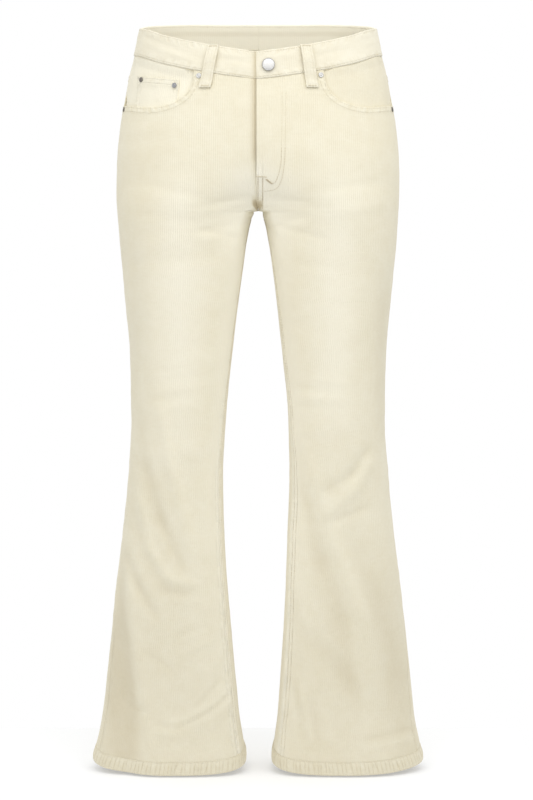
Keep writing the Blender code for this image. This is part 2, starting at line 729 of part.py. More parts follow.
front_rows_of = {side: front_rows(side) for side in SIDES.values()}
mouth_start = {side: start_x for side, start_x, _ in POCKET_MOUTHS}
pieces = {}
for word, hand in SIDES.items():
    back = back_rows(hand)
    pieces[f"front_{word}"] = front_panel(word, hand, front_rows_of[hand], mouth_start[hand], CORDUROY)
    pieces[f"pocket_bearer_{word}"] = bearer(word, hand, front_rows_of[hand], CORDUROY)
    pieces[f"back_{word}"] = wall(f"back_{word}", hand, "back", back, CLOTH, CORDUROY)
    pieces[f"yoke_{word}"] = yoke(word, hand, CORDUROY)
    pieces[f"back_pocket_{word}"] = back_pocket(word, hand, back, CORDUROY)
    pieces[f"waistband_{word}"] = waistband(word, hand, CORDUROY)
    pieces[f"hem_{word}"] = hem(word, hand, CORDUROY)
for loop_name, hand, top_degrees, foot_degrees in BELT_LOOPS:
    belt_loop(loop_name, hand, math.radians(top_degrees), math.radians(foot_degrees), CORDUROY)
pieces["coin_pocket"] = coin_pocket(front_rows_of[-1], CORDUROY)
fly_shield(CORDUROY)

bpy.context.view_layer.update()
shank_button(pieces["waistband_left"], METAL)
for hand, _, rivet_x in POCKET_MOUTHS:
    word = "left" if hand > 0 else "right"
    top_turn = front_turn(rivet_x, waist_seam)
    top_corner = cloth_point(hand, top_turn, waist_seam(top_turn) - MOUTH_TOP_RIVET_DROP, 0.01)
    side_z = waist_seam(0.0) - MOUTH_DEPTH - MOUTH_SIDE_RIVET_DROP
    side_corner = cloth_point(hand, SIDE_RIVET_TURN, side_z, 0.01)
    rivet(f"mouth_top_{word}", pieces[f"front_{word}"], top_corner, METAL)
    rivet(f"mouth_side_{word}", pieces[f"front_{word}"], side_corner, METAL)
for (word, inset), corner in zip(COIN_RIVET_INSETS.items(), coin_pocket_corners()):
    x, z = corner[0] + inset, corner[1] - COIN_RIVET_DROP
    near = cloth_point(-1, front_turn(x, lambda turn: z + 0 * turn), z)
    rivet(f"coin_pocket_{word}", pieces["coin_pocket"], near, METAL)
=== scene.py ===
"""Cream corduroy bootcut jeans, filled out as if worn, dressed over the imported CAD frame.

Metres, +Z up. The front faces -Y and the wearer's left is at +X. Every cut piece is a sheet laid on the same
form as its CAD solid. A point on it is given by the side (-1 the wearer's right, 1 the left), by z and by
its turn round the leg: 0 the outer side, a quarter turn the front, half a turn the inner side, and minus a
quarter turn the back.
"""

import math

import bmesh
import bpy
import numpy as np
from mathutils import Matrix, Vector


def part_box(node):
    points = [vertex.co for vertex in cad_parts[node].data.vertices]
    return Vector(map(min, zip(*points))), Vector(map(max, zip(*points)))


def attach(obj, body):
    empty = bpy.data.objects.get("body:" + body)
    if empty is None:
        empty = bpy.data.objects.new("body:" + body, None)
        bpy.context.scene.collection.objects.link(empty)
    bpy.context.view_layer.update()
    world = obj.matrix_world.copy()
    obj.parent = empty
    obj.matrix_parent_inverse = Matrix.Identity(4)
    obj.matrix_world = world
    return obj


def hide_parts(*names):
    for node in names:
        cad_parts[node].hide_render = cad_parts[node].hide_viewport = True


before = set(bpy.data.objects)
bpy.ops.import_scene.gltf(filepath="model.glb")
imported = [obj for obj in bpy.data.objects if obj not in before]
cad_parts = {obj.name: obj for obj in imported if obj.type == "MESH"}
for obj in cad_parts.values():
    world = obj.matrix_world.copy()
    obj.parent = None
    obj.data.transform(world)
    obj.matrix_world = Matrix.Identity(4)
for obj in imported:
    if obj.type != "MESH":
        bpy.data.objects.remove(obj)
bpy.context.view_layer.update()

# ---- The photograph's camera -------------------------------------------------------------------------------
PHOTO_WIDTH, PHOTO_HEIGHT = 533, 800
VIEW_DISTANCE = 3.1
VIEW_PITCH = math.radians(4.6)
VIEW_TARGET = np.array((0.0117, 0.0, -0.5223))
PIXEL = 0.00142
SENSOR_MM = 36.0

view_forward = np.array((0.0, math.cos(VIEW_PITCH), -math.sin(VIEW_PITCH)))
view_up = np.array((0.0, math.sin(VIEW_PITCH), math.cos(VIEW_PITCH)))
view_place = VIEW_TARGET - VIEW_DISTANCE * view_forward


def new_object(name, data):
    made = bpy.data.objects.new(name, data)
    bpy.context.scene.collection.objects.link(made)
    return made


def add_camera():
    data = bpy.data.cameras.new("camera")
    data.sensor_fit = "HORIZONTAL"
    data.sensor_width = SENSOR_MM
    data.lens = SENSOR_MM * VIEW_DISTANCE / (PHOTO_WIDTH * PIXEL)
    data.clip_end = 100
    camera = new_object("camera", data)
    camera.location = view_place
    camera.rotation_euler = (math.pi / 2 - VIEW_PITCH, 0, 0)
    bpy.context.scene.camera = camera


def seen_at(points):
    """Where points are seen in the photograph, in pixels from its top left corner."""
    away = points - view_place
    depth = away @ view_forward
    focal = VIEW_DISTANCE / PIXEL
    u = PHOTO_WIDTH / 2 + away[..., 0] / depth * focal
    return u, PHOTO_HEIGHT / 2 - away @ view_up / depth * focal


# ---- Driving sizes, as in the CAD source -------------------------------------------------------------------
CLOTH = 0.0015
SEAM_GAP = 0.0003
LAYER_GAP = 0.0004
WAISTBAND_HEIGHT = 0.038
WAISTBAND_WALL = 0.0030
WAISTBAND_PROUD = 0.0008
TILT_ENDS_Z = -0.200
FLY_BOTTOM_Z = -0.205
CROTCH_Z = -0.255
HEM_Z = -1.038
HEM_HEIGHT = 0.020
HEM_WALL = 0.0030
HEM_FRONT_DROP = 0.013
HEM_TILT_STARTS_Z = -0.800
YOKE_SIDE_DEPTH = 0.038
YOKE_CENTRE_DEPTH = 0.072
MOUTH_DEPTH = 0.069
MOUTH_SQUARENESS = 2.9
COIN_POCKET_WALL = 0.0011
BEARER_SINK = {1: CLOTH + LAYER_GAP, -1: CLOTH + 2 * LAYER_GAP + COIN_POCKET_WALL}
MOUTH_START_X = {-1: 0.0865, 1: 0.0895}
LOOP_WIDTH = 0.014
LOOP_WALL = 0.0020
LOOP_BELOW_SEAM = 0.021
LOOP_STAND_OFF = 0.0018
CROTCH_BRIDGE = 0.020
INNER_SQUARENESS = 1.1
ARCH_HALF = 0.0066
BACK_POCKET_CENTRE_X = 0.086
BACK_POCKET_TOP_WIDTH = 0.136
BACK_POCKET_FOOT_WIDTH = 0.118
BACK_POCKET_TOP_Z = -0.108
BACK_POCKET_CORNER_Z = -0.222
BACK_POCKET_POINT_Z = -0.246

WORDS = {-1: "right", 1: "left"}
SEAM_ROWS = (0.0022, 0.0078)
INNER_ROWS = (0.0020, 0.0078)
SEAT_ROWS = (0.0020, 0.0085)
YOKE_ROWS = (0.0022, 0.0080)
POCKET_ROWS = (0.0020, 0.0080)

SECTION_COLUMNS = ("z", "out", "core", "in_right", "in_left", "front", "back", "square")
SECTIONS = (
    (0.020, 0.1605, 0.0000, -0.1605, -0.1605, 0.0880, 0.0940, 2.20),
    (0.000, 0.1650, 0.0000, -0.1650, -0.1650, 0.0910, 0.0980, 2.20),
    (-0.035, 0.1724, 0.0000, -0.1724, -0.1724, 0.0955, 0.1035, 2.20),
    (-0.067, 0.1810, 0.0000, -0.1810, -0.1810, 0.1000, 0.1100, 2.20),
    (-0.096, 0.1866, 0.0020, -0.1700, -0.1700, 0.1030, 0.1160, 2.20),
    (-0.124, 0.1915, 0.0080, -0.1500, -0.1500, 0.1045, 0.1210, 2.20),
    (-0.153, 0.1955, 0.0200, -0.1250, -0.1250, 0.1050, 0.1240, 2.20),
    (-0.181, 0.1980, 0.0340, -0.0950, -0.0950, 0.1045, 0.1250, 2.20),
    (-0.205, 0.1988, 0.0520, -0.0600, -0.0600, 0.1020, 0.1230, 2.15),
    (-0.225, 0.1990, 0.0720, -0.0300, -0.0300, 0.0990, 0.1180, 2.10),
    (-0.241, 0.1988, 0.0880, -0.0110, -0.0110, 0.0960, 0.1120, 2.10),
    (-0.250, 0.1984, 0.0960, -0.0035, -0.0035, 0.0940, 0.1080, 2.10),
    (-0.255, 0.1980, 0.0990, 0.0000, 0.0000, 0.0930, 0.1060, 2.10),
    (-0.258, 0.1978, 0.1010, 0.0055, 0.0045, 0.0920, 0.1050, 2.10),
    (-0.266, 0.1972, 0.1030, 0.0100, 0.0080, 0.0910, 0.1030, 2.10),
    (-0.295, 0.1955, 0.1050, 0.0157, 0.0140, 0.0870, 0.0980, 2.10),
    (-0.337, 0.1915, 0.1060, 0.0216, 0.0203, 0.0830, 0.0920, 2.10),
    (-0.380, 0.1877, 0.1070, 0.0280, 0.0260, 0.0790, 0.0870, 2.10),
    (-0.465, 0.1812, 0.1090, 0.0382, 0.0352, 0.0730, 0.0790, 2.10),
    (-0.550, 0.1802, 0.1125, 0.0464, 0.0430, 0.0690, 0.0720, 2.10),
    (-0.635, 0.1855, 0.1165, 0.0505, 0.0444, 0.0660, 0.0680, 2.10),
    (-0.721, 0.1945, 0.1190, 0.0486, 0.0416, 0.0630, 0.0680, 2.10),
    (-0.806, 0.2055, 0.1220, 0.0429, 0.0385, 0.0610, 0.0670, 2.10),
    (-0.891, 0.2150, 0.1230, 0.0351, 0.0335, 0.0600, 0.0660, 2.10),
    (-0.976, 0.2245, 0.1250, 0.0270, 0.0270, 0.0580, 0.0640, 2.10),
    (-1.038, 0.2375, 0.1270, 0.0172, 0.0190, 0.0570, 0.0620, 2.10),
    (-1.066, 0.2430, 0.1275, 0.0135, 0.0150, 0.0560, 0.0610, 2.10),
)
SEAM_TURN_COLUMNS = ("z", "outseam", "inseam")
SEAM_TURNS = (
    (-0.255, 0.0, 0.0),
    (-0.295, 0.0, 8.0),
    (-0.380, 0.0, 15.0),
    (-0.465, 0.0, 20.0),
    (-0.550, 0.0, 24.0),
    (-0.635, 0.0, 28.0),
    (-0.806, 6.0, 30.0),
    (-0.891, 12.0, 30.0),
    (-1.066, 23.0, 30.0),
)
WAIST_COLUMNS = ("turn", "rise")
WAIST_EDGE = (
    (-90.0, 0.0134),
    (-60.0, 0.0127),
    (-45.0, 0.0110),
    (-30.0, 0.0084),
    (-14.0, 0.0046),
    (0.0, 0.0000),
    (22.0, -0.0045),
    (46.0, -0.0170),
    (64.0, -0.0265),
    (78.0, -0.0335),
    (90.0, -0.0390),
)
# The larger folds, a little softer than in the CAD source: side, turn, z, slant, length, width, height.
FOLDS = (
    (-1, 75, -0.300, 12, 0.060, 0.012, 0.0006),
    (1, 80, -0.262, -14, 0.070, 0.013, 0.0006),
    (-1, 95, -0.590, 8, 0.060, 0.014, 0.0008),
    (1, 110, -0.560, -12, 0.060, 0.014, 0.0008),
    (-1, 70, -0.745, -58, 0.090, 0.020, -0.0026),
    (-1, 40, -0.880, -80, 0.110, 0.022, -0.0030),
    (-1, 120, -0.965, 28, 0.075, 0.012, 0.0030),
    (1, 60, -0.800, 70, 0.110, 0.022, -0.0026),
    (1, 128, -0.960, -55, 0.060, 0.014, 0.0028),
    (-1, -95, -0.290, 10, 0.070, 0.014, -0.0022),
    (1, -100, -0.300, -8, 0.070, 0.014, -0.0022),
    (-1, -90, -0.560, -10, 0.060, 0.014, 0.0020),
    (1, -85, -0.580, 12, 0.060, 0.014, 0.0020),
    (-1, -80, -0.860, 72, 0.110, 0.022, -0.0026),
    (1, -95, -0.840, -68, 0.110, 0.022, -0.0026),
)
LEG_RADIUS = 0.085
BELT_LOOPS = (
    ("front_right", -1, 71.7, 69.5),
    ("front_left", 1, 69.9, 68.9),
    ("side_right", -1, -26.0, -26.0),
    ("side_left", 1, -26.0, -26.0),
    ("centre_back", 1, -90.0, -90.0),
)

# The smaller folds of the front, where the photograph shows them: from and to in its pixels, the width over
# which a fold dies away, in pixels, and its height in millimetres, negative for a trough.
FRONT_CREASES = (
    # whiskers at the crotch
    (206, 205, 248, 197, 3.2, -0.55),
    (200, 213, 244, 204, 4.0, 0.5),
    (200, 232, 228, 225, 3.5, -0.8),
    (204, 240, 234, 233, 4.0, 0.5),
    (266, 197, 306, 202, 3.2, -0.55),
    (268, 206, 318, 214, 4.0, 0.5),
    (278, 227, 322, 238, 3.5, -0.8),
    (262, 214, 276, 240, 3.5, -0.7),
    # hips and thighs
    (150, 186, 200, 197, 5.0, -0.6),
    (322, 190, 378, 182, 5.0, -0.6),
    (146, 216, 196, 222, 6.0, -0.6),
    (330, 222, 385, 212, 6.0, -0.6),
    (202, 231, 236, 237, 3.6, -1.0),
    (270, 228, 302, 218, 3.6, -0.8),
    (170, 262, 222, 254, 6.0, -0.5),
    (296, 264, 346, 270, 6.0, -0.5),
    (349, 320, 349, 455, 8.0, 1.6),
    (384, 290, 384, 440, 9.0, -1.8),
    (150, 250, 153, 380, 9.0, 1.3),
    (133, 240, 137, 390, 7.0, -1.3),
    # knees
    (150, 383, 190, 376, 4.0, -0.35),
    (160, 392, 206, 386, 4.5, 0.35),
    (152, 402, 180, 397, 3.5, -0.45),
    (164, 410, 196, 405, 3.5, 0.35),
    (158, 372, 186, 368, 3.5, -0.4),
    (296, 388, 326, 392, 3.5, -0.4),
    (304, 398, 344, 400, 4.0, 0.35),
    (300, 408, 330, 409, 3.5, -0.3),
    (318, 380, 350, 384, 3.5, 0.4),
    # the drape of the right leg, seen at the left
    (138, 412, 144, 468, 7.0, -1.2),
    (144, 468, 160, 522, 7.0, -2.5),
    (160, 522, 181, 568, 6.5, -2.8),
    (160, 410, 172, 470, 7.0, 2.2),
    (172, 470, 190, 548, 8.0, 3.0),
    (139, 500, 150, 550, 6.0, 2.4),
    (150, 550, 168, 579, 5.5, 2.6),
    (168, 579, 190, 584, 5.0, 1.6),
    (125, 556, 138, 588, 5.0, -2.0),
    (138, 588, 153, 614, 5.0, -2.4),
    (163, 592, 188, 595, 4.0, -1.2),
    (125, 575, 137, 660, 7.0, 1.8),
    (137, 660, 151, 750, 7.0, 2.4),
    (119, 562, 116, 640, 8.0, -3.4),
    (114, 640, 119, 700, 12.5, -5.2),
    (119, 694, 125, 800, 16.0, -5.6),
    (205, 480, 210, 560, 7.0, 1.2),
    (196, 600, 199, 680, 10.0, 1.5),
    (211, 672, 224, 650, 4.0, 1.2),
    (154, 724, 174, 729, 3.2, -1.2),
    (160, 734, 178, 736, 3.4, 1.2),
    (172, 723, 195, 716, 2.2, 1.4),
    (195, 716, 213, 704, 2.2, 1.7),
    (213, 704, 228, 690, 2.2, 1.6),
    (177, 729, 210, 712, 2.4, -2.2),
    (210, 712, 228, 697, 2.4, -1.8),
    (197, 706, 220, 682, 3.0, -1.8),
    (230, 738, 239, 748, 2.5, -1.1),
    (128, 690, 146, 702, 3.0, 0.9),
    (124, 706, 150, 714, 2.6, -1.0),
    (148, 655, 170, 668, 3.0, -0.8),
    (176, 636, 204, 628, 3.0, -0.8),
    (182, 654, 214, 640, 3.0, 0.8),
    # the drape of the left leg, seen at the right
    (292, 450, 303, 505, 8.0, -1.6),
    (303, 505, 321, 565, 11.5, -2.7),
    (321, 565, 342, 622, 13.0, -2.6),
    (342, 622, 356, 692, 14.0, -2.2),
    (312, 470, 334, 545, 8.0, 1.8),
    (334, 545, 358, 612, 8.0, 3.2),
    (358, 612, 370, 705, 10.0, 2.8),
    (294, 580, 309, 634, 7.0, 2.0),
    (366, 452, 352, 475, 5.5, -1.9),
    (352, 475, 326, 492, 5.5, -1.7),
    (370, 464, 354, 492, 6.0, 1.6),
    (354, 492, 326, 514, 6.0, 1.5),
    (366, 508, 336, 521, 4.6, -1.5),
    (312, 640, 340, 672, 10.0, -1.6),
    (340, 672, 364, 702, 11.0, -1.5),
    (388, 570, 400, 680, 16.0, -1.7),
    (398, 676, 412, 800, 16.0, -2.2),
    (297, 676, 303, 701, 3.4, 1.4),
    (303, 701, 310, 736, 3.4, 1.8),
    (294, 690, 300, 735, 3.4, -1.4),
    (312, 704, 318, 744, 4.0, -1.4),
    (318, 700, 330, 740, 4.5, 1.2),
    (370, 750, 417, 736, 3.2, 1.5),
    (366, 741, 414, 728, 3.2, -1.4),
)

# The folds of the back, which the photograph doesn't show: from and to as x and z in millimetres, then the
# width and the height, in millimetres.
BACK_CREASES = (
    (20, -262, 95, -292, 6, -1.6),
    (24, -276, 98, -308, 6, 1.2),
    (-22, -260, -92, -288, 6, -1.6),
    (-26, -274, -96, -304, 6, 1.2),
    (40, -318, 110, -336, 8, -1.0),
    (-44, -314, -112, -330, 8, -1.0),
    (60, -530, 150, -545, 9, -1.4),
    (64, -552, 156, -560, 9, 1.2),
    (70, -584, 150, -576, 9, -1.3),
    (-60, -526, -150, -542, 9, -1.4),
    (-64, -548, -156, -556, 9, 1.2),
    (-70, -580, -148, -590, 9, -1.3),
    (90, -640, 120, -800, 14, -1.6),
    (-96, -630, -118, -790, 14, -1.6),
    (150, -660, 130, -900, 16, 1.2),
    (-150, -650, -134, -900, 16, 1.2),
    (60, -905, 118, -950, 7, 1.3),
    (-64, -920, -120, -962, 7, 1.3),
    (150, -930, 205, -985, 7, -1.2),
    (-150, -940, -204, -990, 7, -1.2),
)


# ---- Interpolation -----------------------------------------------------------------------------------------
def smoothstep(x, start, end):
    t = np.clip((x - start) / (end - start), 0, 1)
    return t * t * (3 - 2 * t)


def bell(away, width):
    """1 where away is 0, dying away over a width each way."""
    return np.exp(-((away / width) ** 2))


def end_slope(step_near, step_far, slope_near, slope_far):
    """The slope at an end of a table, kept from overshooting."""
    slope = ((2 * step_near + step_far) * slope_near - step_near * slope_far) / (step_near + step_far)
    if slope * slope_near <= 0:
        return 0.0
    if slope_near * slope_far <= 0 and abs(slope) > 3 * abs(slope_near):
        return 3 * slope_near
    return slope


def smooth_curve(at, values):
    """A function through the points that is smooth and never overshoots them. at must rise."""
    at = np.array(at, float)
    values = np.array(values, float)
    steps = np.diff(at)
    slopes = np.diff(values) / steps
    inner = np.zeros(len(at))
    for i in range(1, len(at) - 1):
        if slopes[i - 1] * slopes[i] > 0:
            before = 2 * steps[i] + steps[i - 1]
            after = steps[i] + 2 * steps[i - 1]
            inner[i] = (before + after) / (before / slopes[i - 1] + after / slopes[i])
    inner[0] = end_slope(steps[0], steps[1], slopes[0], slopes[1])
    inner[-1] = end_slope(steps[-1], steps[-2], slopes[-1], slopes[-2])

    def curve(x):
        x = np.clip(np.asarray(x, float), at[0], at[-1])
        i = np.clip(np.searchsorted(at, x) - 1, 0, len(steps) - 1)
        t = (x - at[i]) / steps[i]
        start = (1 + 2 * t) * (1 - t) ** 2 * values[i] + t * t * (3 - 2 * t) * values[i + 1]
        return start + steps[i] * (t * (1 - t) ** 2 * inner[i] - t * t * (1 - t) * inner[i + 1])

    return curve


def curves_of(columns, rows):
    """A smooth curve over the first column for each other column of a table."""
    rising = sorted(rows)
    first = [row[0] for row in rising]
    return {name: smooth_curve(first, [row[i] for row in rising]) for i, name in enumerate(columns) if i}


def soft_noise(u, v, seed):
    """Smooth noise between -1 and 1, whose lumps are about one unit across."""
    lattice = np.random.default_rng(seed).uniform(-1, 1, (64, 64))
    whole_u, whole_v = np.floor(u).astype(int), np.floor(v).astype(int)
    part_u, part_v = smoothstep(u - whole_u, 0, 1), smoothstep(v - whole_v, 0, 1)

    def corner(i, j):
        return lattice[(whole_u + i) % 64, (whole_v + j) % 64]

    upper = corner(0, 0) * (1 - part_u) + corner(1, 0) * part_u
    lower = corner(0, 1) * (1 - part_u) + corner(1, 1) * part_u
    return upper * (1 - part_v) + lower * part_v


def eased(curve, reach=0.012):
    """A curve with its corners rounded over a reach each way."""
    steps = np.linspace(-1, 1, 9)
    weights = 1 - np.abs(steps) * 0.9

    def rounded(x):
        x = np.asarray(x, float)
        return sum(w * curve(x + reach * s) for s, w in zip(steps, weights)) / weights.sum()

    return rounded


SECTION = curves_of(SECTION_COLUMNS, SECTIONS)
for name, reach in (("core", 0.026), ("front", 0.034), ("back", 0.034), ("out", 0.014)):
    SECTION[name] = eased(SECTION[name], reach)
SOFT_INNER = {side: eased(SECTION[f"in_{WORDS[side]}"], 0.030) for side in (-1, 1)}
SEAM_TURN = curves_of(SEAM_TURN_COLUMNS, SEAM_TURNS)
WAIST_RISE = curves_of(WAIST_COLUMNS, WAIST_EDGE)["rise"]
QUARTER = math.pi / 2
TURN_STEP = 1e-3
HEIGHT_STEP = 2e-4
ARC_SAMPLES = 241
MILLIMETRE = 0.001


# ---- The form of the cloth ---------------------------------------------------------------------------------
def inner_edge(side, z):
    """Where the leg's inner edge lies, squared off at the crotch where the seams meet."""
    edge = SECTION[f"in_{WORDS[side]}"](z)
    return np.maximum(edge, np.where(z < CROTCH_Z, ARCH_HALF * smoothstep(CROTCH_Z - z, 0.0, 0.0009), edge))


def inner_reach(side, inwards, z):
    """The inner edge as the section's turns meet it: exact at the edge, and smooth down the leg away from it.

    inwards is 1 where the section turns round its inner edge, and 0 at the middle of the front or back."""
    soft = SOFT_INNER[side](z)
    return soft + (inner_edge(side, z) - soft) * smoothstep(inwards, 0.766, 0.985)


def section_square(z, inner=False):
    """The exponent of the section's outline, which is squarer on the inner side of the legs."""
    return SECTION["square"](z) + INNER_SQUARENESS * inner * smoothstep(-z, 0.235, 0.330)


def inwards_at(side, x, z):
    """How far inwards the section has turned at a distance x from the centre plane."""
    core = SECTION["core"](z)
    inwards = np.ones(np.broadcast(x, z).shape)
    for _ in range(8):
        share = np.clip((core - x) / (core - inner_reach(side, inwards, z)), 0, 1)
        inwards = share ** (section_square(z, True) / 2)
    return inwards


def plain_form(side, turn, z):
    """The outer face of the cloth, with no folds, as an array of points."""
    core = SECTION["core"](z)
    power = 2 / section_square(z, np.cos(turn) < 0)
    inner = inner_reach(side, np.clip(-np.cos(turn), 0, 1), z)
    reach_x = np.where(np.cos(turn) > 0, SECTION["out"](z) - core, core - inner)
    reach_y = np.where(np.sin(turn) > 0, SECTION["front"](z), SECTION["back"](z))
    x = core + reach_x * np.sign(np.cos(turn)) * np.abs(np.cos(turn)) ** power
    y = -reach_y * np.sign(np.sin(turn)) * np.abs(np.sin(turn)) ** power
    bridge = CROTCH_BRIDGE * smoothstep(-z, 0.165, 0.236) * (1 - smoothstep(-z, 0.262, 0.350))
    under = 1 - np.sqrt(np.clip((z - CROTCH_Z) / 0.010, 0, 1))
    exact = np.clip((core - np.abs(x)) / (core - inner_edge(side, z)), 0, 1)
    soft = np.clip((core - np.sqrt(x**2 + bridge**2)) / (core - SOFT_INNER[side](z)), 0, 1)
    share = soft + (exact - soft) * smoothstep(exact, 0.87, 1.0) * under
    eased_y = -reach_y * np.sign(np.sin(turn)) * (1 - share ** (2 / power)) ** (power / 2)
    y = np.where((x < core) & (x > -0.0005), eased_y, y)
    return np.stack([side * x, y, z + 0 * x], axis=-1)


def plain_normal(side, turn, z):
    """The outward normals of plain_form."""
    round_leg = plain_form(side, turn + TURN_STEP, z) - plain_form(side, turn - TURN_STEP, z)
    down_leg = plain_form(side, turn, z + HEIGHT_STEP) - plain_form(side, turn, z - HEIGHT_STEP)
    normal = side * np.cross(down_leg, round_leg)
    return normal / np.linalg.norm(normal, axis=-1, keepdims=True)


def cad_folds(side, turn, z):
    total = 0 * (turn + z)
    for fold_side, fold_turn, fold_z, slant, length, width, height in FOLDS:
        if fold_side != side:
            continue
        across = LEG_RADIUS * (turn - math.radians(fold_turn))
        up = z - fold_z
        lean = math.radians(slant)
        along = across * math.cos(lean) + up * math.sin(lean)
        beside = up * math.cos(lean) - across * math.sin(lean)
        total = total + height * np.exp(-((along / length) ** 2) - (beside / width) ** 2)
    return total


def creases(u, v, lines):
    """The sum of soft ridges and troughs along straight lines, each dying away at its sides and ends."""
    total = 0.0 * u
    for from_u, from_v, to_u, to_v, width, height in lines:
        length = math.hypot(to_u - from_u, to_v - from_v)
        along_u, along_v = (to_u - from_u) / length, (to_v - from_v) / length
        along = (u - from_u) * along_u + (v - from_v) * along_v
        beside = (v - from_v) * along_u - (u - from_u) * along_v
        past = np.maximum(np.abs(along - length / 2) - length * 0.34, 0) / (length * 0.16 + width)
        total = total + height * MILLIMETRE * np.exp(-((beside / width) ** 2) - past**2)
    return total


def fold_height(side, turn, z, form):
    """How far the folds move the cloth outwards, at points of the plain form."""
    facing = np.sin(turn)
    u, v = seen_at(form)
    front = creases(u, v, FRONT_CREASES) * smoothstep(facing, -0.15, 0.35)
    x, height = form[..., 0] / MILLIMETRE, form[..., 2] / MILLIMETRE
    back = creases(x, height, BACK_CREASES) * smoothstep(-facing, -0.15, 0.35)
    around = form[..., 0] * 9 + form[..., 1] * 13
    lumps = soft_noise(around + 20, z * 16 + 40, 3) + 0.5 * soft_noise(around * 2.3 + 20, z * 34 + 70, 4)
    lumps = lumps + 0.42 * soft_noise(around * 5.1 + 30, z * 70 + 90, 5)
    lumps = lumps + 0.12 * soft_noise(around * 11 + 30, z * 150 + 90, 6)
    below_band = smoothstep(-z, 0.03, 0.09)
    return cad_folds(side, turn, z) + front + back + lumps * 0.0004 * below_band


def cloth_point(side, turn, z, lift=0.0):
    """The outer face of the cloth, with its folds, moved out by lift."""
    turn, z = np.broadcast_arrays(np.asarray(turn, float), np.asarray(z, float))
    form = plain_form(side, turn, z)
    out = fold_height(side, turn, z, form) + lift
    return form + plain_normal(side, turn, z) * out[..., None]


# ---- Where the seams and edges run -------------------------------------------------------------------------
def centre_turn(side, z):
    """How far round the section meets the centre plane, or the inner side of the leg below the crotch."""
    return math.pi - np.arccos(inwards_at(side, SEAM_GAP / 2, z))


def inner_turn(side, panel, z):
    inseam = np.radians(SEAM_TURN["inseam"](z))
    return centre_turn(side, z) - inseam if panel == "front" else -centre_turn(side, z) - inseam


def side_turn(z):
    return np.radians(SEAM_TURN["outseam"](z))


def waist_edge(turn):
    return WAIST_RISE(np.degrees(turn))


def waist_seam(turn):
    return waist_edge(turn) - WAISTBAND_HEIGHT


def hem_dip(turn):
    """How far the hem lies above the side's, round the leg: lowest in front, and flattening out behind."""
    front = np.clip(np.sin(turn), 0, 1)
    back = np.clip(-np.sin(turn), 0, 1)
    return HEM_FRONT_DROP * (back - back**2 / 2 - front)


def tilted(level, turn):
    """A level line, following the waist near the top and the hem near the bottom."""
    at_waist = np.clip((level - TILT_ENDS_Z) / -TILT_ENDS_Z, 0, 1)
    at_hem = np.clip((HEM_TILT_STARTS_Z - level) / (HEM_TILT_STARTS_Z - HEM_Z), 0, 1)
    return level + at_waist * waist_edge(turn) + at_hem * hem_dip(turn)


def hem_edge(turn):
    return HEM_Z + hem_dip(turn)


def hem_seam(turn):
    return hem_edge(turn) + HEM_HEIGHT


def yoke_seam(turn):
    back = np.clip(-np.sin(turn), 0, 1)
    return waist_seam(turn) - YOKE_SIDE_DEPTH - (YOKE_CENTRE_DEPTH - YOKE_SIDE_DEPTH) * back**1.5


def front_turn(x, height_of):
    """The turn at which a line across the front lies at a distance x from the centre plane."""
    turns = np.linspace(0, QUARTER, ARC_SAMPLES)
    across = plain_form(1, turns, height_of(turns))[:, 0]
    return float(np.interp(abs(x), across[::-1], turns[::-1]))


def turn_at(panel, x, z):
    """The turn of the point of the front or back that lies at x and z."""
    x, z = np.broadcast_arrays(np.asarray(x, float), np.asarray(z, float))
    inwards = np.where(x < 0, inwards_at(-1, -x, z), inwards_at(1, x, z))
    away = np.abs(x) - SECTION["core"](z)
    outwards = np.clip(away / (SECTION["out"](z) - SECTION["core"](z)), 0, 1) ** (section_square(z) / 2)
    turn = np.arccos(np.where(away > 0, outwards, -inwards))
    return turn if panel == "front" else -turn


def front_line(pixels, lift=0.0, step=0.002, beside_fly=False):
    """The points and normals of a line on the front that is seen through pixels of the photograph."""
    pixels = np.array(pixels, float)
    u, v = pixels[:, 0], pixels[:, 1]
    across = (u - PHOTO_WIDTH / 2) * PIXEL / VIEW_DISTANCE
    up = (PHOTO_HEIGHT / 2 - v) * PIXEL / VIEW_DISTANCE
    sight = view_forward + across[:, None] * np.array((1.0, 0, 0)) + up[:, None] * view_up
    y = np.full(len(u), -0.09)
    for _ in range(12):
        spot = view_place + sight * ((y - view_place[1]) / sight[:, 1])[:, None]
        turn = turn_at("front", spot[:, 0], spot[:, 2])
        y = 0.5 * y + 0.5 * plain_form(1, turn, spot[:, 2])[:, 1]
    run = along_line(spot)
    if len(run) > 2:
        asked = np.linspace(0, run[-1], max(int(run[-1] / step), 2))
        spot = np.stack([smooth_curve(run, spot[:, k])(asked) for k in range(3)], 1)
    if beside_fly:
        lift = lift + fly_lift(np.abs(spot[:, 0]), spot[:, 2])
    return on_front(spot[:, 0], spot[:, 2], lift)


def on_front(x, z, lift=0.0, panel="front"):
    """The points and normals of the front or back at given x and z, which may lie on both sides."""
    x, z = np.broadcast_arrays(np.asarray(x, float), np.asarray(z, float))
    lift = np.broadcast_to(np.asarray(lift, float), x.shape)
    turn = turn_at(panel, x, z)
    points, normals = np.zeros(x.shape + (3,)), np.zeros(x.shape + (3,))
    for side in (-1, 1):
        here = (x < 0) == (side < 0)
        if here.any():
            points[here] = cloth_point(side, turn[here], z[here], lift[here])
            normals[here] = plain_normal(side, turn[here], z[here])
    return points, normals


GRAIN_LINE = smooth_curve((-1.066, -0.80, -0.55, -0.30, 0.02), (0.1275, 0.121, 0.1125, 0.104, 0.098))


def waist_of_panel(side, z):
    """The distance from the centre plane beyond which a panel's columns run smoothly past the crotch."""
    past = SOFT_INNER[side](z) - 0.004
    return 0.014 + (past + np.sqrt(past**2 + 0.006**2)) / 2


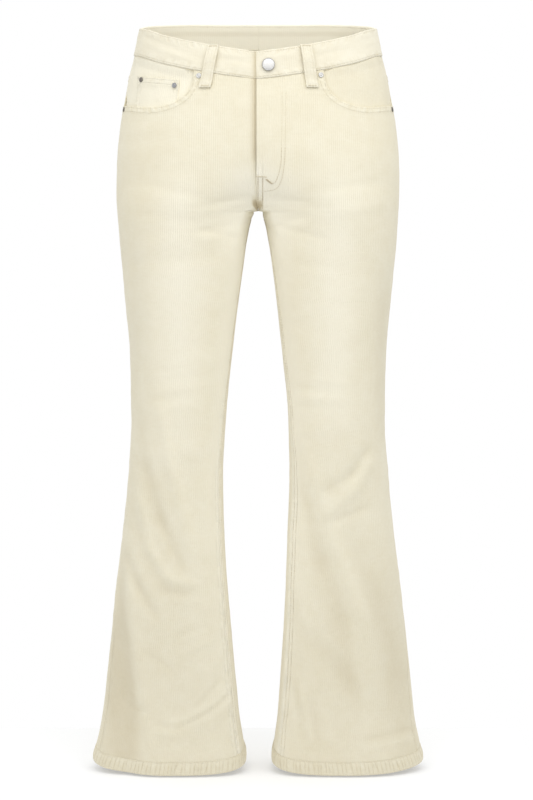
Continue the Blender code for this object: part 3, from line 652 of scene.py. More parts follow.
class PanelWays:
    """The ways across one panel at every height, from its centre or inseam edge at 0 to its side at 1.

    Well above and below the crotch a way runs evenly. Near it the inner columns take up the cloth that turns
    under, so that the others pass the crotch smoothly."""

    TOP_Z, FOOT_Z, ROWS, SHARES, INNER_SHARE = 0.020, -1.066, 1087, 241, 0.12

    def __init__(self, side, panel):
        self.heights = np.linspace(self.TOP_Z, self.FOOT_Z, self.ROWS)
        inner = inner_turn(side, panel, self.heights)
        walk = np.linspace(0, 1, ARC_SAMPLES)
        turns = inner[:, None] + (side_turn(self.heights) - inner)[:, None] * walk
        points = plain_form(side, turns, self.heights[:, None] + 0 * turns)
        lengths = np.linalg.norm(np.diff(points, axis=1), axis=-1)
        run = np.concatenate([np.zeros((self.ROWS, 1)), np.cumsum(lengths, axis=1)], axis=1)
        shares = np.linspace(0, 1, self.SHARES)
        near = smoothstep(-self.heights, 0.175, 0.235) * (1 - smoothstep(-self.heights, 0.45, 0.75))
        splits = waist_of_panel(side, self.heights)
        self.table, self.runs = np.zeros((2, self.ROWS, self.SHARES))
        self.middle = np.zeros(self.ROWS)
        grain_turns = turn_at(panel, side * GRAIN_LINE(self.heights), self.heights)
        for i in range(self.ROWS):
            across = np.abs(points[i, :, 0])
            first = int(np.argmin(across))
            split = np.interp(splits[i], across[first:], run[i, first:]) / run[i, -1]
            bent = np.interp(shares, (0, self.INNER_SHARE, 1), (0, split, 1))
            self.runs[i] = (shares + (bent - shares) * near[i]) * run[i, -1]
            asked = SEAM_GAP / 2 + self.runs[i] * (1 - SEAM_GAP / run[i, -1])
            self.table[i] = np.interp(asked, run[i], turns[i])
            falls = turns[i, 0] > turns[i, -1]
            order = slice(None, None, -1) if falls else slice(None)
            self.middle[i] = np.interp(grain_turns[i], turns[i][order], run[i][order])

    def row_at(self, z):
        row = np.clip((self.TOP_Z - z) / (self.TOP_Z - self.FOOT_Z) * (self.ROWS - 1), 0, self.ROWS - 1.001)
        whole = np.floor(row).astype(int)
        return whole, row - whole

    def look_up(self, table, share, z):
        share, z = np.broadcast_arrays(np.asarray(share, float), np.asarray(z, float))
        i, p = self.row_at(z)
        column = np.clip(share * (self.SHARES - 1), 0, self.SHARES - 1.001)
        j = np.floor(column).astype(int)
        q = column - j
        upper = table[i, j] * (1 - q) + table[i, j + 1] * q
        lower = table[i + 1, j] * (1 - q) + table[i + 1, j + 1] * q
        return upper * (1 - p) + lower * p

    def turn(self, share, z):
        return self.look_up(self.table, share, z)

    def run(self, share, z):
        """The distance along the cloth from the centre or inseam edge."""
        return self.look_up(self.runs, share, z)

    def width(self, z):
        return self.run(1.0, z)

    def grain(self, share, z):
        """How far points lie from the panel's grain line, which hangs straight, and how high."""
        run = self.run(share, z)
        i, p = self.row_at(z + 0 * run)
        middle = self.middle[i] * (1 - p) + self.middle[i + 1] * p
        return np.stack([run - middle, z + 0 * run], axis=-1)

    def share(self, turn, z):
        """The share of the way across at which a turn lies, for one height at a time."""
        i, _ = self.row_at(np.asarray(z, float))
        order = slice(None, None, -1) if self.table[i, 0] > self.table[i, -1] else slice(None)
        return float(np.interp(turn, self.table[i][order], np.linspace(0, 1, self.SHARES)[order]))

    def share_of_run(self, run, z):
        """The shares at which the distance from the inner edge is run, for a line of heights."""
        rows, _ = self.row_at(z)
        return np.array([np.interp(run, self.runs[i], np.linspace(0, 1, self.SHARES)) for i in rows])

    def settle(self, shares, height_of):
        """The turns and heights of a line across the panel whose height depends on the turn."""
        heights = height_of(np.full(len(shares), QUARTER if self.table[0, 0] > 0 else -QUARTER))
        for _ in range(4):
            turns = self.turn(shares, heights)
            heights = height_of(turns)
        return turns, heights


ways = {(side, panel): PanelWays(side, panel) for side in (-1, 1) for panel in ("front", "back")}


# ---- Shader writing ----------------------------------------------------------------------------------------
class Wire:
    """One output of a material's nodes. Arithmetic on it adds Math nodes."""

    def __init__(self, tree, socket):
        self.tree = tree
        self.socket = socket

    def math(self, operation, *values):
        return add_node(self.tree, "ShaderNodeMath", {"operation": operation}, dict(enumerate(values)))

    def __add__(self, other):
        return self.math("ADD", self, other)

    def __radd__(self, other):
        return self.math("ADD", other, self)

    def __sub__(self, other):
        return self.math("SUBTRACT", self, other)

    def __rsub__(self, other):
        return self.math("SUBTRACT", other, self)

    def __mul__(self, other):
        return self.math("MULTIPLY", self, other)

    def __rmul__(self, other):
        return self.math("MULTIPLY", other, self)

    def __truediv__(self, other):
        return self.math("DIVIDE", self, other)

    def __rtruediv__(self, other):
        return self.math("DIVIDE", other, self)


def add_node(tree, kind, settings, values, output=0):
    """Adds a node, sets its settings and then its sockets, and returns one of its outputs."""
    node = tree.nodes.new(kind)
    for name, value in settings.items():
        setattr(node, name, value)
    for name, value in values.items():
        socket = node.inputs[name]
        if isinstance(value, Wire):
            tree.links.new(value.socket, socket)
        else:
            socket.default_value = value
    return Wire(tree, node.outputs[output])


def new_finish(name):
    finish = bpy.data.materials.new(name)
    finish.use_nodes = True
    finish.node_tree.nodes.clear()
    return finish, finish.node_tree


def close_finish(tree, shader_values, bump=None, bump_distance=0.001, bump_strength=1.0):
    """Adds the surface shader. A bump height in units of bump_distance feeds its normal."""
    if bump is not None:
        shader_values["Normal"] = add_node(
            tree,
            "ShaderNodeBump",
            {},
            {"Strength": bump_strength, "Distance": bump_distance, "Height": bump},
        )
    surface = add_node(tree, "ShaderNodeBsdfPrincipled", {}, shader_values)
    end = tree.nodes.new("ShaderNodeOutputMaterial")
    tree.links.new(surface.socket, end.inputs["Surface"])


def mixed(tree, share, first, second):
    """A colour between two, which may be wires or plain colours."""
    values = {"Factor": share, "A": first, "B": second}
    node = tree.nodes.new("ShaderNodeMix")
    node.data_type = "RGBA"
    sockets = {"Factor": node.inputs[0], "A": node.inputs[6], "B": node.inputs[7]}
    for name, value in values.items():
        if isinstance(value, Wire):
            tree.links.new(value.socket, sockets[name])
        else:
            sockets[name].default_value = (*value, 1.0) if isinstance(value, tuple) else value
    return Wire(tree, node.outputs[2])


def noise(tree, place, scale, detail, roughness=0.5):
    values = {"Vector": place, "Scale": scale, "Detail": detail, "Roughness": roughness}
    return add_node(tree, "ShaderNodeTexNoise", {}, values)


def joined(tree, x, y, z=0.0):
    return add_node(tree, "ShaderNodeCombineXYZ", {}, {"X": x, "Y": y, "Z": z})


def parts_of(tree, vector):
    node = tree.nodes.new("ShaderNodeSeparateXYZ")
    tree.links.new(vector.socket, node.inputs[0])
    return [Wire(tree, socket) for socket in node.outputs]


def ranged(tree, value, start, end, low=0.0, high=1.0, way="LINEAR"):
    """A value mapped from start and end to low and high, and kept between them."""
    values = {"Value": value, "From Min": start, "From Max": end, "To Min": low, "To Max": high}
    return add_node(tree, "ShaderNodeMapRange", {"interpolation_type": way}, values)


# ---- Finishes ----------------------------------------------------------------------------------------------
CREAM = (0.87, 0.815, 0.645)
CREAM_DEEP = (0.73, 0.645, 0.44)
CREAM_PALE = (0.92, 0.875, 0.73)
# Cream mixed in where painted shade lies, and a paler cream mixed in where painted light lies.
CREAM_SHADED = (0.50, 0.40, 0.23)
CREAM_PAINTED_LIGHT = (0.97, 0.925, 0.78)
CREAM_BAND = (0.855, 0.81, 0.675)
# The dark towards which the lower legs are mixed, as painted shade.
PAINTED_SHADE_DARK = (0.12, 0.09, 0.05)
SPECK = (0.30, 0.20, 0.08)
SPECK_RADIUS = 0.0009
WALE_PITCH = 0.0030
SPECKS = ((0.0366, -0.0995, -0.1150), (-0.1400, -0.0520, -0.9930), (0.1240, -0.0680, -0.8120))


def corduroy_finish(name, cream=CREAM, groove=1.0, sewn=SEAM_ROWS, welt_shade=2.0):
    """Corduroy whose wales run along the piece's own grain, with sewn lines beside its stitched seams."""
    finish, tree = new_finish(name)
    grain = add_node(tree, "ShaderNodeUVMap", {"uv_map": "grain"}, {})
    across, down, _ = parts_of(tree, grain)
    wander = noise(tree, joined(tree, across * 330.0, down * 60.0), 0.12, 1.0)
    wave = (across / WALE_PITCH + (wander - 0.5) * 0.5) * (2 * math.pi)
    wale = wave.math("COSINE", wave) * 0.5 + 0.5
    nap = noise(tree, joined(tree, across * 1900.0, down * 900.0), 1.0, 2.0)
    place = add_node(tree, "ShaderNodeTexCoord", {}, {}, output="Object")
    blotch = noise(tree, place, 52.0, 4.0, 0.6)
    cloud = noise(tree, place, 9.0, 2.0)

    seam = add_node(tree, "ShaderNodeAttribute", {"attribute_name": "seam"}, {}, output="Vector")
    from_stitched, along_seam, from_plain = parts_of(tree, seam)

    def near(distance, middle, width):
        """1 on a line at a distance from a seam, dying away at its sides."""
        away = (distance - middle) / width
        return away.math("EXPONENT", away * away * -1.0)

    def within(distance, reach, fade):
        return 1.0 - ranged(tree, distance, reach, reach + fade, way="SMOOTHSTEP")

    slanting = along_seam * 210.0 + from_stitched * 90.0
    pucker = noise(tree, joined(tree, slanting, from_stitched * 60.0, along_seam * 7.0), 1.0, 1.5)
    welt = within(from_stitched, 0.0065, 0.004)
    sewn_line = near(from_stitched, sewn[0], 0.0006)
    for distance in sewn[1:]:
        sewn_line = sewn_line + near(from_stitched, distance, 0.0006)
    edge_line = near(from_stitched, 0.0, 0.0008) * 0.7 + near(from_plain, 0.0, 0.0008) * 0.7

    crinkle = noise(tree, joined(tree, across * 110.0, down * 300.0), 1.0, 2.0)
    height = wale * (0.34 * groove) + nap * 0.16 + crinkle * 0.35
    height = height + (pucker - 0.5) * welt * 1.7 - sewn_line * 0.55
    # The tone rises where the wales, nap, crinkles and puckers stand up and falls along the sewn lines:
    # painted light and shade over the relief. The blotch and cloud are the cloth's own random mottling.
    shade = (wale - 0.5) * (0.18 * groove) + (nap - 0.5) * 0.24 + (crinkle - 0.5) * 0.5
    shade = shade + (blotch - 0.5) * 0.9 + (cloud - 0.5) * 0.85
    shade = shade + (pucker - 0.5) * welt * welt_shade - sewn_line * 0.16 - edge_line * 0.22
    tone = mixed(tree, ranged(tree, shade, -0.55, 0.55), CREAM_DEEP, CREAM_PALE)
    colour = mixed(tree, 0.45, cream, tone)
    # A point attribute mixes the colour towards the cream of painted shade where it is positive, and towards
    # the paler cream of painted light where it is negative.
    painted_light_and_shade = add_node(tree, "ShaderNodeAttribute", {"attribute_name": "painted_light_and_shade"}, {}, output="Fac")
    colour = mixed(tree, painted_light_and_shade, colour, CREAM_SHADED)
    colour = mixed(tree, painted_light_and_shade * -1.0, colour, CREAM_PAINTED_LIGHT)
    # Darker towards the hems: painted shade where less light reaches the lower legs.
    towards_hem_painted_shade = ranged(tree, parts_of(tree, place)[2], -0.75, -1.04, 0.0, 0.16)
    colour = mixed(tree, towards_hem_painted_shade, colour, PAINTED_SHADE_DARK)
    for spot in SPECKS:
        ends = {0: place, 1: spot}
        apart = add_node(tree, "ShaderNodeVectorMath", {"operation": "DISTANCE"}, ends, output="Value")
        colour = mixed(tree, within(apart, SPECK_RADIUS, SPECK_RADIUS) * 0.8, colour, SPECK)
    close_finish(
        tree,
        {
            "Base Color": colour,
            "Roughness": 0.92,
            "Specular IOR Level": 0.15,
            "Sheen Weight": 0.45,
            "Sheen Roughness": 0.45,
            "Sheen Tint": (0.97, 0.93, 0.80, 1.0),
        },
        height,
        0.0007,
    )
    return finish


def thread_finish(name, dark, pale):
    finish, tree = new_finish(name)
    place = add_node(tree, "ShaderNodeTexCoord", {}, {}, output="Object")
    ply = noise(tree, place, 1500.0, 2.0)
    colour = mixed(tree, ply, dark, pale)
    close_finish(tree, {"Base Color": colour, "Roughness": 0.75, "Specular IOR Level": 0.3}, ply, 0.0001)
    return finish


def metal_finish(name, tone, worn):
    """Satin plate in random patches of two tones, with a scuffed roughness."""
    finish, tree = new_finish(name)
    place = add_node(tree, "ShaderNodeTexCoord", {}, {}, output="Object")
    scuff = noise(tree, place, 900.0, 4.0)
    patch = noise(tree, place, 260.0, 2.0)
    colour = mixed(tree, patch, worn, tone)
    rough = scuff * 0.20 + 0.34
    close_finish(
        tree,
        {"Base Color": colour, "Metallic": 1.0, "Roughness": rough},
        scuff,
        0.0001,
        0.5,
    )
    return finish


cloth_finish = corduroy_finish("corduroy")
band_finish = corduroy_finish("corduroy_band", CREAM_BAND, groove=0.3, sewn=(0.0026,), welt_shade=1.2)
stitch_finish = thread_finish("thread", (0.72, 0.65, 0.49), (0.85, 0.79, 0.63))
# A darker thread for the fly's lower rows and the bar tacks, as painted shade.
shade_darkened_stitch_finish = thread_finish("thread_painted_shade", (0.50, 0.42, 0.28), (0.66, 0.58, 0.42))
plate_finish = metal_finish("satin_nickel", (0.74, 0.73, 0.71), (0.63, 0.62, 0.60))
# A darker nickel for the rims of the button and the top rivets, and for the coin pocket's inner rivet: a
# painted dark reflection.
dark_reflection_finish = metal_finish("nickel_painted_dark_reflection", (0.44, 0.44, 0.45), (0.30, 0.30, 0.31))
# A dark nickel for the rivets seen edge-on at the sides and the coin pocket's outer rivet: painted shade.
painted_shade_plate_finish = metal_finish("shaded_nickel", (0.34, 0.32, 0.29), (0.14, 0.12, 0.10))


# ---- Making meshes -----------------------------------------------------------------------------------------
def grid_faces(rows, columns, closed_round, reverse):
    """Quads over a grid, as indices of its points and of its UVs, which have one column more when closed."""
    across = columns if closed_round else columns - 1
    i, j = np.meshgrid(np.arange(rows - 1), np.arange(across), indexing="ij")
    i, j = i.ravel(), j.ravel()
    next_j = (j + 1) % columns if closed_round else j + 1
    this_row, next_row = i * columns, (i + 1) * columns
    points = np.stack([this_row + j, next_row + j, next_row + next_j, this_row + next_j], 1)
    wide = columns + 1 if closed_round else columns
    uvs = np.stack([i * wide + j, (i + 1) * wide + j, (i + 1) * wide + j + 1, i * wide + j + 1], 1)
    return (points[:, ::-1], uvs[:, ::-1]) if reverse else (points, uvs)


def grid_piece(name, points, grain, seam, finish, reverse=False, closed_round=False, painted_light_and_shade=None):
    """A smooth sheet through a grid of points, with its grain as UVs and its distances from seams."""
    rows, columns = points.shape[:2]
    faces, uv_of = grid_faces(rows, columns, closed_round, reverse)
    flat = points.reshape(-1, 3)
    face_list = faces.tolist()
    mesh = bpy.data.meshes.new(name)
    mesh.from_pydata(flat.tolist(), [], face_list)
    layer = mesh.uv_layers.new(name="grain")
    layer.data.foreach_set("uv", grain.reshape(-1, 2)[uv_of.ravel()].ravel().astype(np.float32))
    if seam is None:
        seam = np.full((len(flat), 3), 1.0)
    store = mesh.attributes.new("seam", "FLOAT_VECTOR", "POINT")
    store.data.foreach_set("vector", seam.reshape(-1, 3).ravel().astype(np.float32))
    # The point attribute of painted light and shade, where the piece has one.
    if painted_light_and_shade is not None:
        store = mesh.attributes.new("painted_light_and_shade", "FLOAT", "POINT")
        store.data.foreach_set("value", (painted_light_and_shade * np.ones((rows, columns))).ravel().astype(np.float32))
    mesh.materials.append(finish)
    mesh.shade_smooth()
    mesh.update()
    return new_object(name, mesh)


def thicken(made, wall):
    """Gives a sheet its thickness inwards, with a softened rim."""
    solid = made.modifiers.new("wall", "SOLIDIFY")
    solid.thickness = wall
    solid.offset = -1.0
    solid.use_rim = True
    bevel = made.modifiers.new("rim", "BEVEL")
    bevel.width = 0.0003
    bevel.segments = 2
    bevel.limit_method = "ANGLE"
    bevel.angle_limit = math.radians(55)
    return made


def way_round(side, panel):
    """Front panels run from the centre to the side, to the left as seen from outside on the left leg."""
    return side if panel == "front" else -side


def along_line(points):
    """How far along a line of points each of them lies."""
    return np.concatenate([[0.0], np.cumsum(np.linalg.norm(np.diff(points, axis=0), axis=1))])


def edge_steps(length, step, near=(0.0009, 0.0022, 0.0042)):
    """Distances from 0 to length in even steps, closer together at both ends."""
    middle = np.linspace(near[-1], length - near[-1], max(int(length / step), 2))
    return np.concatenate([[0.0], near[:-1], middle, length - np.array(near[:-1][::-1]), [length]])


# ---- Stitches ----------------------------------------------------------------------------------------------
STITCH_LENGTH = 0.0029
STITCH_PITCH = 0.0036
THREAD_RADIUS = 0.00030


def stitch_template():
    """The points and faces of one stitch, a short thread with rounded ends, along its first axis."""
    half = ((0.15, 1.0, 0.0), (0.42, 0.85, -0.35), (0.5, 0.25, -0.9))
    stations = tuple((-along, size, sink) for along, size, sink in half[::-1]) + half
    sides = 6
    points, faces = [], []
    for along, size, sink in stations:
        for k in range(sides):
            angle = 2 * math.pi * k / sides
            points.append((along, size * math.cos(angle), size * math.sin(angle) + sink))
    for i in range(len(stations) - 1):
        for k in range(sides):
            m = (k + 1) % sides
            faces.append((i * sides + k, i * sides + m, (i + 1) * sides + m, (i + 1) * sides + k))
    faces.append(tuple(range(sides - 1, -1, -1)))
    last = (len(stations) - 1) * sides
    faces.append(tuple(range(last, last + sides)))
    return np.array(points), faces


class Stitching:
    """Gathers rows of stitches and makes one piece of them."""

    def __init__(self, name, finish):
        self.name = name
        self.finish = finish
        self.places = []

    def row(self, points, normals, pitch=STITCH_PITCH, length=STITCH_LENGTH, radius=THREAD_RADIUS):
        """Stitches along a line of points on the cloth."""
        points, normals = np.asarray(points), np.asarray(normals)
        run = along_line(points)
        count = max(int(run[-1] / pitch), 1)
        starts = (np.arange(count) + 0.5) * run[-1] / count
        half = length / 2
        near, far, middle = (
            np.stack([np.interp(starts + shift, run, points[:, k]) for k in range(3)], 1)
            for shift in (-half, half, 0.0)
        )
        up = np.stack([np.interp(starts, run, normals[:, k]) for k in range(3)], 1)
        along = far - near
        along /= np.linalg.norm(along, axis=1, keepdims=True) + 1e-12
        across = np.cross(up, along)
        across /= np.linalg.norm(across, axis=1, keepdims=True) + 1e-12
        up = np.cross(along, across)
        self.places.append((middle, along * length, across * radius, up * radius))

    def make(self):
        template, faces = stitch_template()
        middle, along, across, up = (np.concatenate([place[k] for place in self.places]) for k in range(4))
        points = (
            middle[:, None]
            + template[None, :, :1] * along[:, None]
            + template[None, :, 1:2] * across[:, None]
            + template[None, :, 2:] * up[:, None]
        )
        count = len(template)
        all_faces = [tuple(v + i * count for v in face) for i in range(len(middle)) for face in faces]
        mesh = bpy.data.meshes.new(self.name)
        mesh.from_pydata(points.reshape(-1, 3).tolist(), [], all_faces)
        mesh.materials.append(self.finish)
        mesh.shade_smooth()
        return new_object(self.name, mesh)


def surface_row(side, turns, heights, lift):
    """A line on the cloth and its normals, for stitches."""
    turns, heights = np.broadcast_arrays(np.asarray(turns, float), np.asarray(heights, float))
    return cloth_point(side, turns, heights, lift), plain_normal(side, turns, heights)


# ---- The leg panels ----------------------------------------------------------------------------------------
LEG_TOP_LEVEL = -0.165
ROW_STEP = 0.0029
COLUMN_STEP = 0.0030
LAP = 0.0022
FLY_ROWS_Z = -0.1905


def mouth_line(side, count=46):
    """The turns and heights of a pocket mouth's edge, from its top end to the side seam."""
    start = front_turn(MOUTH_START_X[side], waist_seam)
    shares = np.concatenate([np.linspace(0, 1, count) ** 1.5, [0.962, 0.982, 0.993]])
    shares = np.unique(shares)
    turns = start * (1 - shares)
    rest = np.clip(1 - shares, 0, 1)
    depth = MOUTH_DEPTH * (1 - rest**MOUTH_SQUARENESS) ** (1 / MOUTH_SQUARENESS)
    return turns, waist_seam(turns) - depth


def leg_levels():
    """The levels of the panels' rows, closer together where the crotch seam runs out level."""
    above = np.arange(LEG_TOP_LEVEL, CROTCH_Z + 0.019, -ROW_STEP)
    crotch = np.linspace(CROTCH_Z + 0.018, CROTCH_Z + 0.004, 12)
    crotch = np.concatenate([crotch, CROTCH_Z + np.linspace(0.0034, -0.0034, 13)])
    below = np.arange(CROTCH_Z - 0.005, HEM_Z + HEM_HEIGHT + 0.004, -ROW_STEP)
    return np.concatenate([above, crotch, below])


def panel_rows(side, panel, shares, tops, top_count):
    """The turns and heights of a panel's rows, from its top edge to a level line and on to the hem seam."""
    way = ways[side, panel]
    base = way.settle(shares, lambda turn: tilted(LEG_TOP_LEVEL, turn))[1]
    rows = []
    fractions = np.concatenate([[0.0, 0.008, 0.022, 0.042], np.linspace(0.07, 1, top_count)[:-1]])
    for fraction in fractions:
        heights = tops + (base - tops) * fraction
        rows.append((way.turn(shares, heights), heights))
    for level in leg_levels():
        rows.append(way.settle(shares, lambda turn, level=level: tilted(level, turn)))
    for extra in (0.0022, 0.0009, 0.0002, -0.0009):
        rows.append(way.settle(shares, lambda turn, extra=extra: hem_seam(turn) + SEAM_GAP / 2 + extra))
    turns = np.array([row[0] for row in rows])
    heights = np.array([row[1] for row in rows])
    return turns, heights


def nearest_on(line, points):
    """The distance of each point from a line of points, and how far along the line it is nearest."""
    run = along_line(line)
    flat = points.reshape(-1, 3)
    best = np.full(len(flat), 9.0)
    along = np.zeros(len(flat))
    for start, end, at in zip(line, line[1:], run):
        step = end - start
        share = np.clip((flat - start) @ step / max(step @ step, 1e-12), 0, 1)
        gap = np.linalg.norm(flat - start - share[:, None] * step, axis=1)
        closer = gap < best
        best = np.where(closer, gap, best)
        along = np.where(closer, at + share * math.sqrt(step @ step), along)
    return best.reshape(points.shape[:-1]), along.reshape(points.shape[:-1])


def fly_lift(from_centre, z):
    """How far the left front is raised beside the fly opening by the layers beneath it."""
    low = 1 - 0.55 * smoothstep(-z, -FLY_BOTTOM_Z, -FLY_BOTTOM_Z + 0.030)
    above_crotch = 1 - smoothstep(-z, -CROTCH_Z - 0.010, -CROTCH_Z - 0.001)
    return 0.0015 * low * above_crotch * (1 - smoothstep(from_centre, 0.006, 0.034))


def leg_panel(side, panel):
    """A front or back panel, with its pocket mouth, its lapped centre edge and its puckered seams."""
    way = ways[side, panel]
    word = WORDS[side]
    if panel == "front":
        mouth_turns, mouth_heights = mouth_line(side)
        mouth_shares = np.array([way.share(t, z) for t, z in zip(mouth_turns, mouth_heights)])
        mouth_shares = (mouth_shares - mouth_shares[0]) / (mouth_shares[-1] - mouth_shares[0]) * (
            1 - mouth_shares[0]
        ) + mouth_shares[0]
        plain = edge_steps(mouth_shares[0] * 0.21, COLUMN_STEP) / 0.21
        shares = np.concatenate([plain[:-1], mouth_shares])
        tops = np.concatenate(
            [way.settle(plain[:-1], lambda turn: waist_seam(turn) - SEAM_GAP / 2)[1], mouth_heights]
        )
        top_count = 32
    else:
        shares = edge_steps(0.23, COLUMN_STEP) / 0.23
        tops = way.settle(shares, lambda turn: yoke_seam(turn) - SEAM_GAP / 2)[1]
        top_count = 24
    turns, heights = panel_rows(side, panel, shares, tops, top_count)
    from_inner = way.run(shares[None, :], heights)
    from_side = way.width(heights) - from_inner
    down_seam = np.minimum(heights - hem_seam(turns), 1.0)

    below_crotch = smoothstep(-heights, -CROTCH_Z - 0.01, -CROTCH_Z + 0.03)
    roll = -0.0006 * bell(from_inner, 0.0014) - 0.0006 * bell(from_side, 0.0014)
    roll = roll - 0.0006 * smoothstep(-down_seam, -0.0006, 0.0008)
    ridge = 0.5 + 0.5 * soft_noise(-heights * 130 + from_inner * 60, from_inner * 40 + 9, 11 + side)
    strong = 1.0 if (side > 0) == (panel == "front") else 0.7
    welt = 0.0006 * strong * (0.55 + 0.9 * ridge) * bell(from_inner - 0.0045, 0.0045)
    side_ridge = soft_noise(-heights * 100 + 5, from_side * 30, 17 + side)
    low = smoothstep(-heights, 0.55, 0.85)
    side_welt = (0.0002 + 0.00035 * low) * (0.6 + side_ridge) * bell(from_side - 0.004, 0.004)
    lift = roll + welt * below_crotch + side_welt

    above_crotch = 1 - smoothstep(-heights, -CROTCH_Z - 0.010, -CROTCH_Z - 0.001)
    if panel == "front":
        fly = 1 - 0.55 * smoothstep(-heights, -FLY_BOTTOM_Z, -FLY_BOTTOM_Z + 0.030)
        if side > 0:
            lift = lift + fly_lift(from_inner, heights)
            lift = lift + 0.0004 * bell(from_inner, 0.0016) * above_crotch
        else:
            lift = lift - 0.0010 * above_crotch * (1 - smoothstep(from_inner, 0.003, 0.016))
            lift = lift - 0.0014 * fly * above_crotch * (1 - smoothstep(from_inner, 0.001, 0.008))
    else:
        lift = lift + side * 0.0005 * above_crotch * (1 - smoothstep(from_inner, 0.004, 0.016))

    points = cloth_point(side, turns, heights, 0.0)
    if panel == "front":
        edge = np.array([cloth_point(side, t, z) for t, z in zip(mouth_turns, mouth_heights)])
        near_mouth = top_count + 24
        to_mouth, mouth_run = nearest_on(edge[::2], points[:near_mouth])
        pad = np.full(heights.shape, 1.0)
        pad[:near_mouth] = to_mouth
        whole_run = np.pad(mouth_run, ((0, heights.shape[0] - len(mouth_run)), (0, 0)))
        mouth_pucker = soft_noise(whole_run * 150, pad * 60, 23)
        lift = lift + 0.0005 * (1 - smoothstep(pad, 0.008, 0.011))
        lift = lift + 0.00022 * mouth_pucker * bell(pad - 0.004, 0.004)
        lift = lift - 0.0006 * bell(pad, 0.0013)
    points = cloth_point(side, turns, heights, lift)
    if panel == "front" and side > 0:
        points[..., 0] -= LAP * above_crotch * (1 - smoothstep(from_inner, 0.001, 0.020))

    grain = way.grain(shares[None, :], heights)
    rows_from = FLY_ROWS_Z if panel == "front" and side > 0 else CROTCH_Z
    stitched = np.where(heights < rows_from, from_inner, 1.0)
    along = -heights
    if panel == "front":
        closer = pad < stitched
        stitched = np.where(closer, pad, stitched)
        along[: len(mouth_run)] = np.where(closer[: len(mouth_run)], mouth_run, along[: len(mouth_run)])
    seam = np.stack([stitched, along, from_side], axis=-1)
    form = plain_form(side, turns, heights)
    # Painted shade in the troughs of the folds.
    painted_light_and_shade = np.clip(-fold_height(side, turns, heights, form) / 0.005, 0, 1) * 0.26
    if panel == "front":
        # Painted shade at the crotch's foot, where the cloth turns under.
        crotch_foot = smoothstep(-heights, 0.229, 0.246) * (1 - smoothstep(-heights, 0.2552, 0.259))
        painted_light_and_shade = np.maximum(painted_light_and_shade, 0.72 * crotch_foot * (1 - smoothstep(from_inner, 0.0060, 0.0100)))
        if side < 0:
            # Painted shadow beside the fly's lapped edge.
            beside_lap = 0.42 * bell(from_inner - 0.0045, 0.0045) * above_crotch
            painted_light_and_shade = np.maximum(painted_light_and_shade, beside_lap * (1 - 0.8 * smoothstep(-heights, 0.205, 0.235)))
        # Painted light along the legs' inner edges and across the thighs, which lie in shade, held back where
        # the crotch is painted in shade.
        down_leg = smoothstep(-heights, 0.175, 0.225) * (1 - 0.5 * smoothstep(-heights, 0.50, 0.85))
        edge_off = np.abs(form[..., 0]) - np.maximum(inner_edge(side, heights), 0)
        reach = 0.017 + 0.030 * bell(heights + 0.235, 0.060)
        legs_painted_light = down_leg * bell(edge_off, reach)
        thigh = smoothstep(-heights, 0.15, 0.25) * (1 - smoothstep(-heights, 0.45, 0.65))
        legs_painted_light = np.maximum(legs_painted_light, 0.5 * thigh * np.exp(-(((np.abs(form[..., 0]) - 0.108) / 0.030) ** 2)))
        painted_crotch_shade = crotch_foot * (1 - smoothstep(from_inner, 0.0060, 0.0105))
        legs_painted_light = legs_painted_light * (1 - painted_crotch_shade)
        painted_light_and_shade = painted_light_and_shade - legs_painted_light
        painted_light_and_shade = painted_light_and_shade - 0.9 * down_leg * bell(from_inner, 0.006) * (1 - painted_crotch_shade)
    else:
        # Painted light along the back's inner edge below the crotch.
        painted_light_and_shade = painted_light_and_shade - below_crotch * bell(from_inner, 0.014)
    made = grid_piece(
        f"{panel}_panel_{word}", points, grain, seam, cloth_finish, way_round(side, panel) < 0, painted_light_and_shade=painted_light_and_shade
    )
    return thicken(made, CLOTH)


# The angles of the points round a folded edge.
ROLL_ANGLES = np.radians((25, 50, 75, 90, 105, 130, 155))


# ---- The waistband -----------------------------------------------------------------------------------------
def band_lap(side, turn):
    """How far the waistband's ends are lifted or sunk where the left one laps over the right one."""
    near_front = smoothstep(np.degrees(turn), 76 if side > 0 else 84, 88)
    return near_front * (0.0012 if side > 0 else -0.0021)


def path_along(section):
    """How far along a section each of its points lies."""
    return np.concatenate([[0.0], np.cumsum([math.dist(a, b) for a, b in zip(section, section[1:])])])


def band_section():
    """The waistband's section as (drop from the top edge, lift) pairs, round from its outer foot."""
    half = WAISTBAND_WALL / 2
    middle = WAISTBAND_PROUD - half
    outer = [(drop, WAISTBAND_PROUD) for drop in np.linspace(WAISTBAND_HEIGHT - 0.0002, 0.0016, 18)]
    top = [(half - half * math.sin(a), middle + half * math.cos(a)) for a in ROLL_ANGLES]
    drops = np.linspace(0.0016, WAISTBAND_HEIGHT - 0.0006, 12)
    inner = [(drop, WAISTBAND_PROUD - WAISTBAND_WALL) for drop in drops]
    foot = [
        (WAISTBAND_HEIGHT - 0.0002, WAISTBAND_PROUD - WAISTBAND_WALL * 0.7),
        (WAISTBAND_HEIGHT, WAISTBAND_PROUD - WAISTBAND_WALL * 0.4),
    ]
    return outer + top + inner + foot


def band_turns(side):
    """The turns of the waistband's columns, from the centre front round to the centre back."""
    ends = [QUARTER + (math.radians(0.52) if side > 0 else 0.0), -QUARTER]
    turns = np.linspace(ends[0], ends[1], 1201)
    points = plain_form(side, turns, waist_edge(np.minimum(turns, QUARTER)))
    run = along_line(points)
    asked = edge_steps(run[-1], 0.0030)
    return np.interp(asked, run, turns), asked


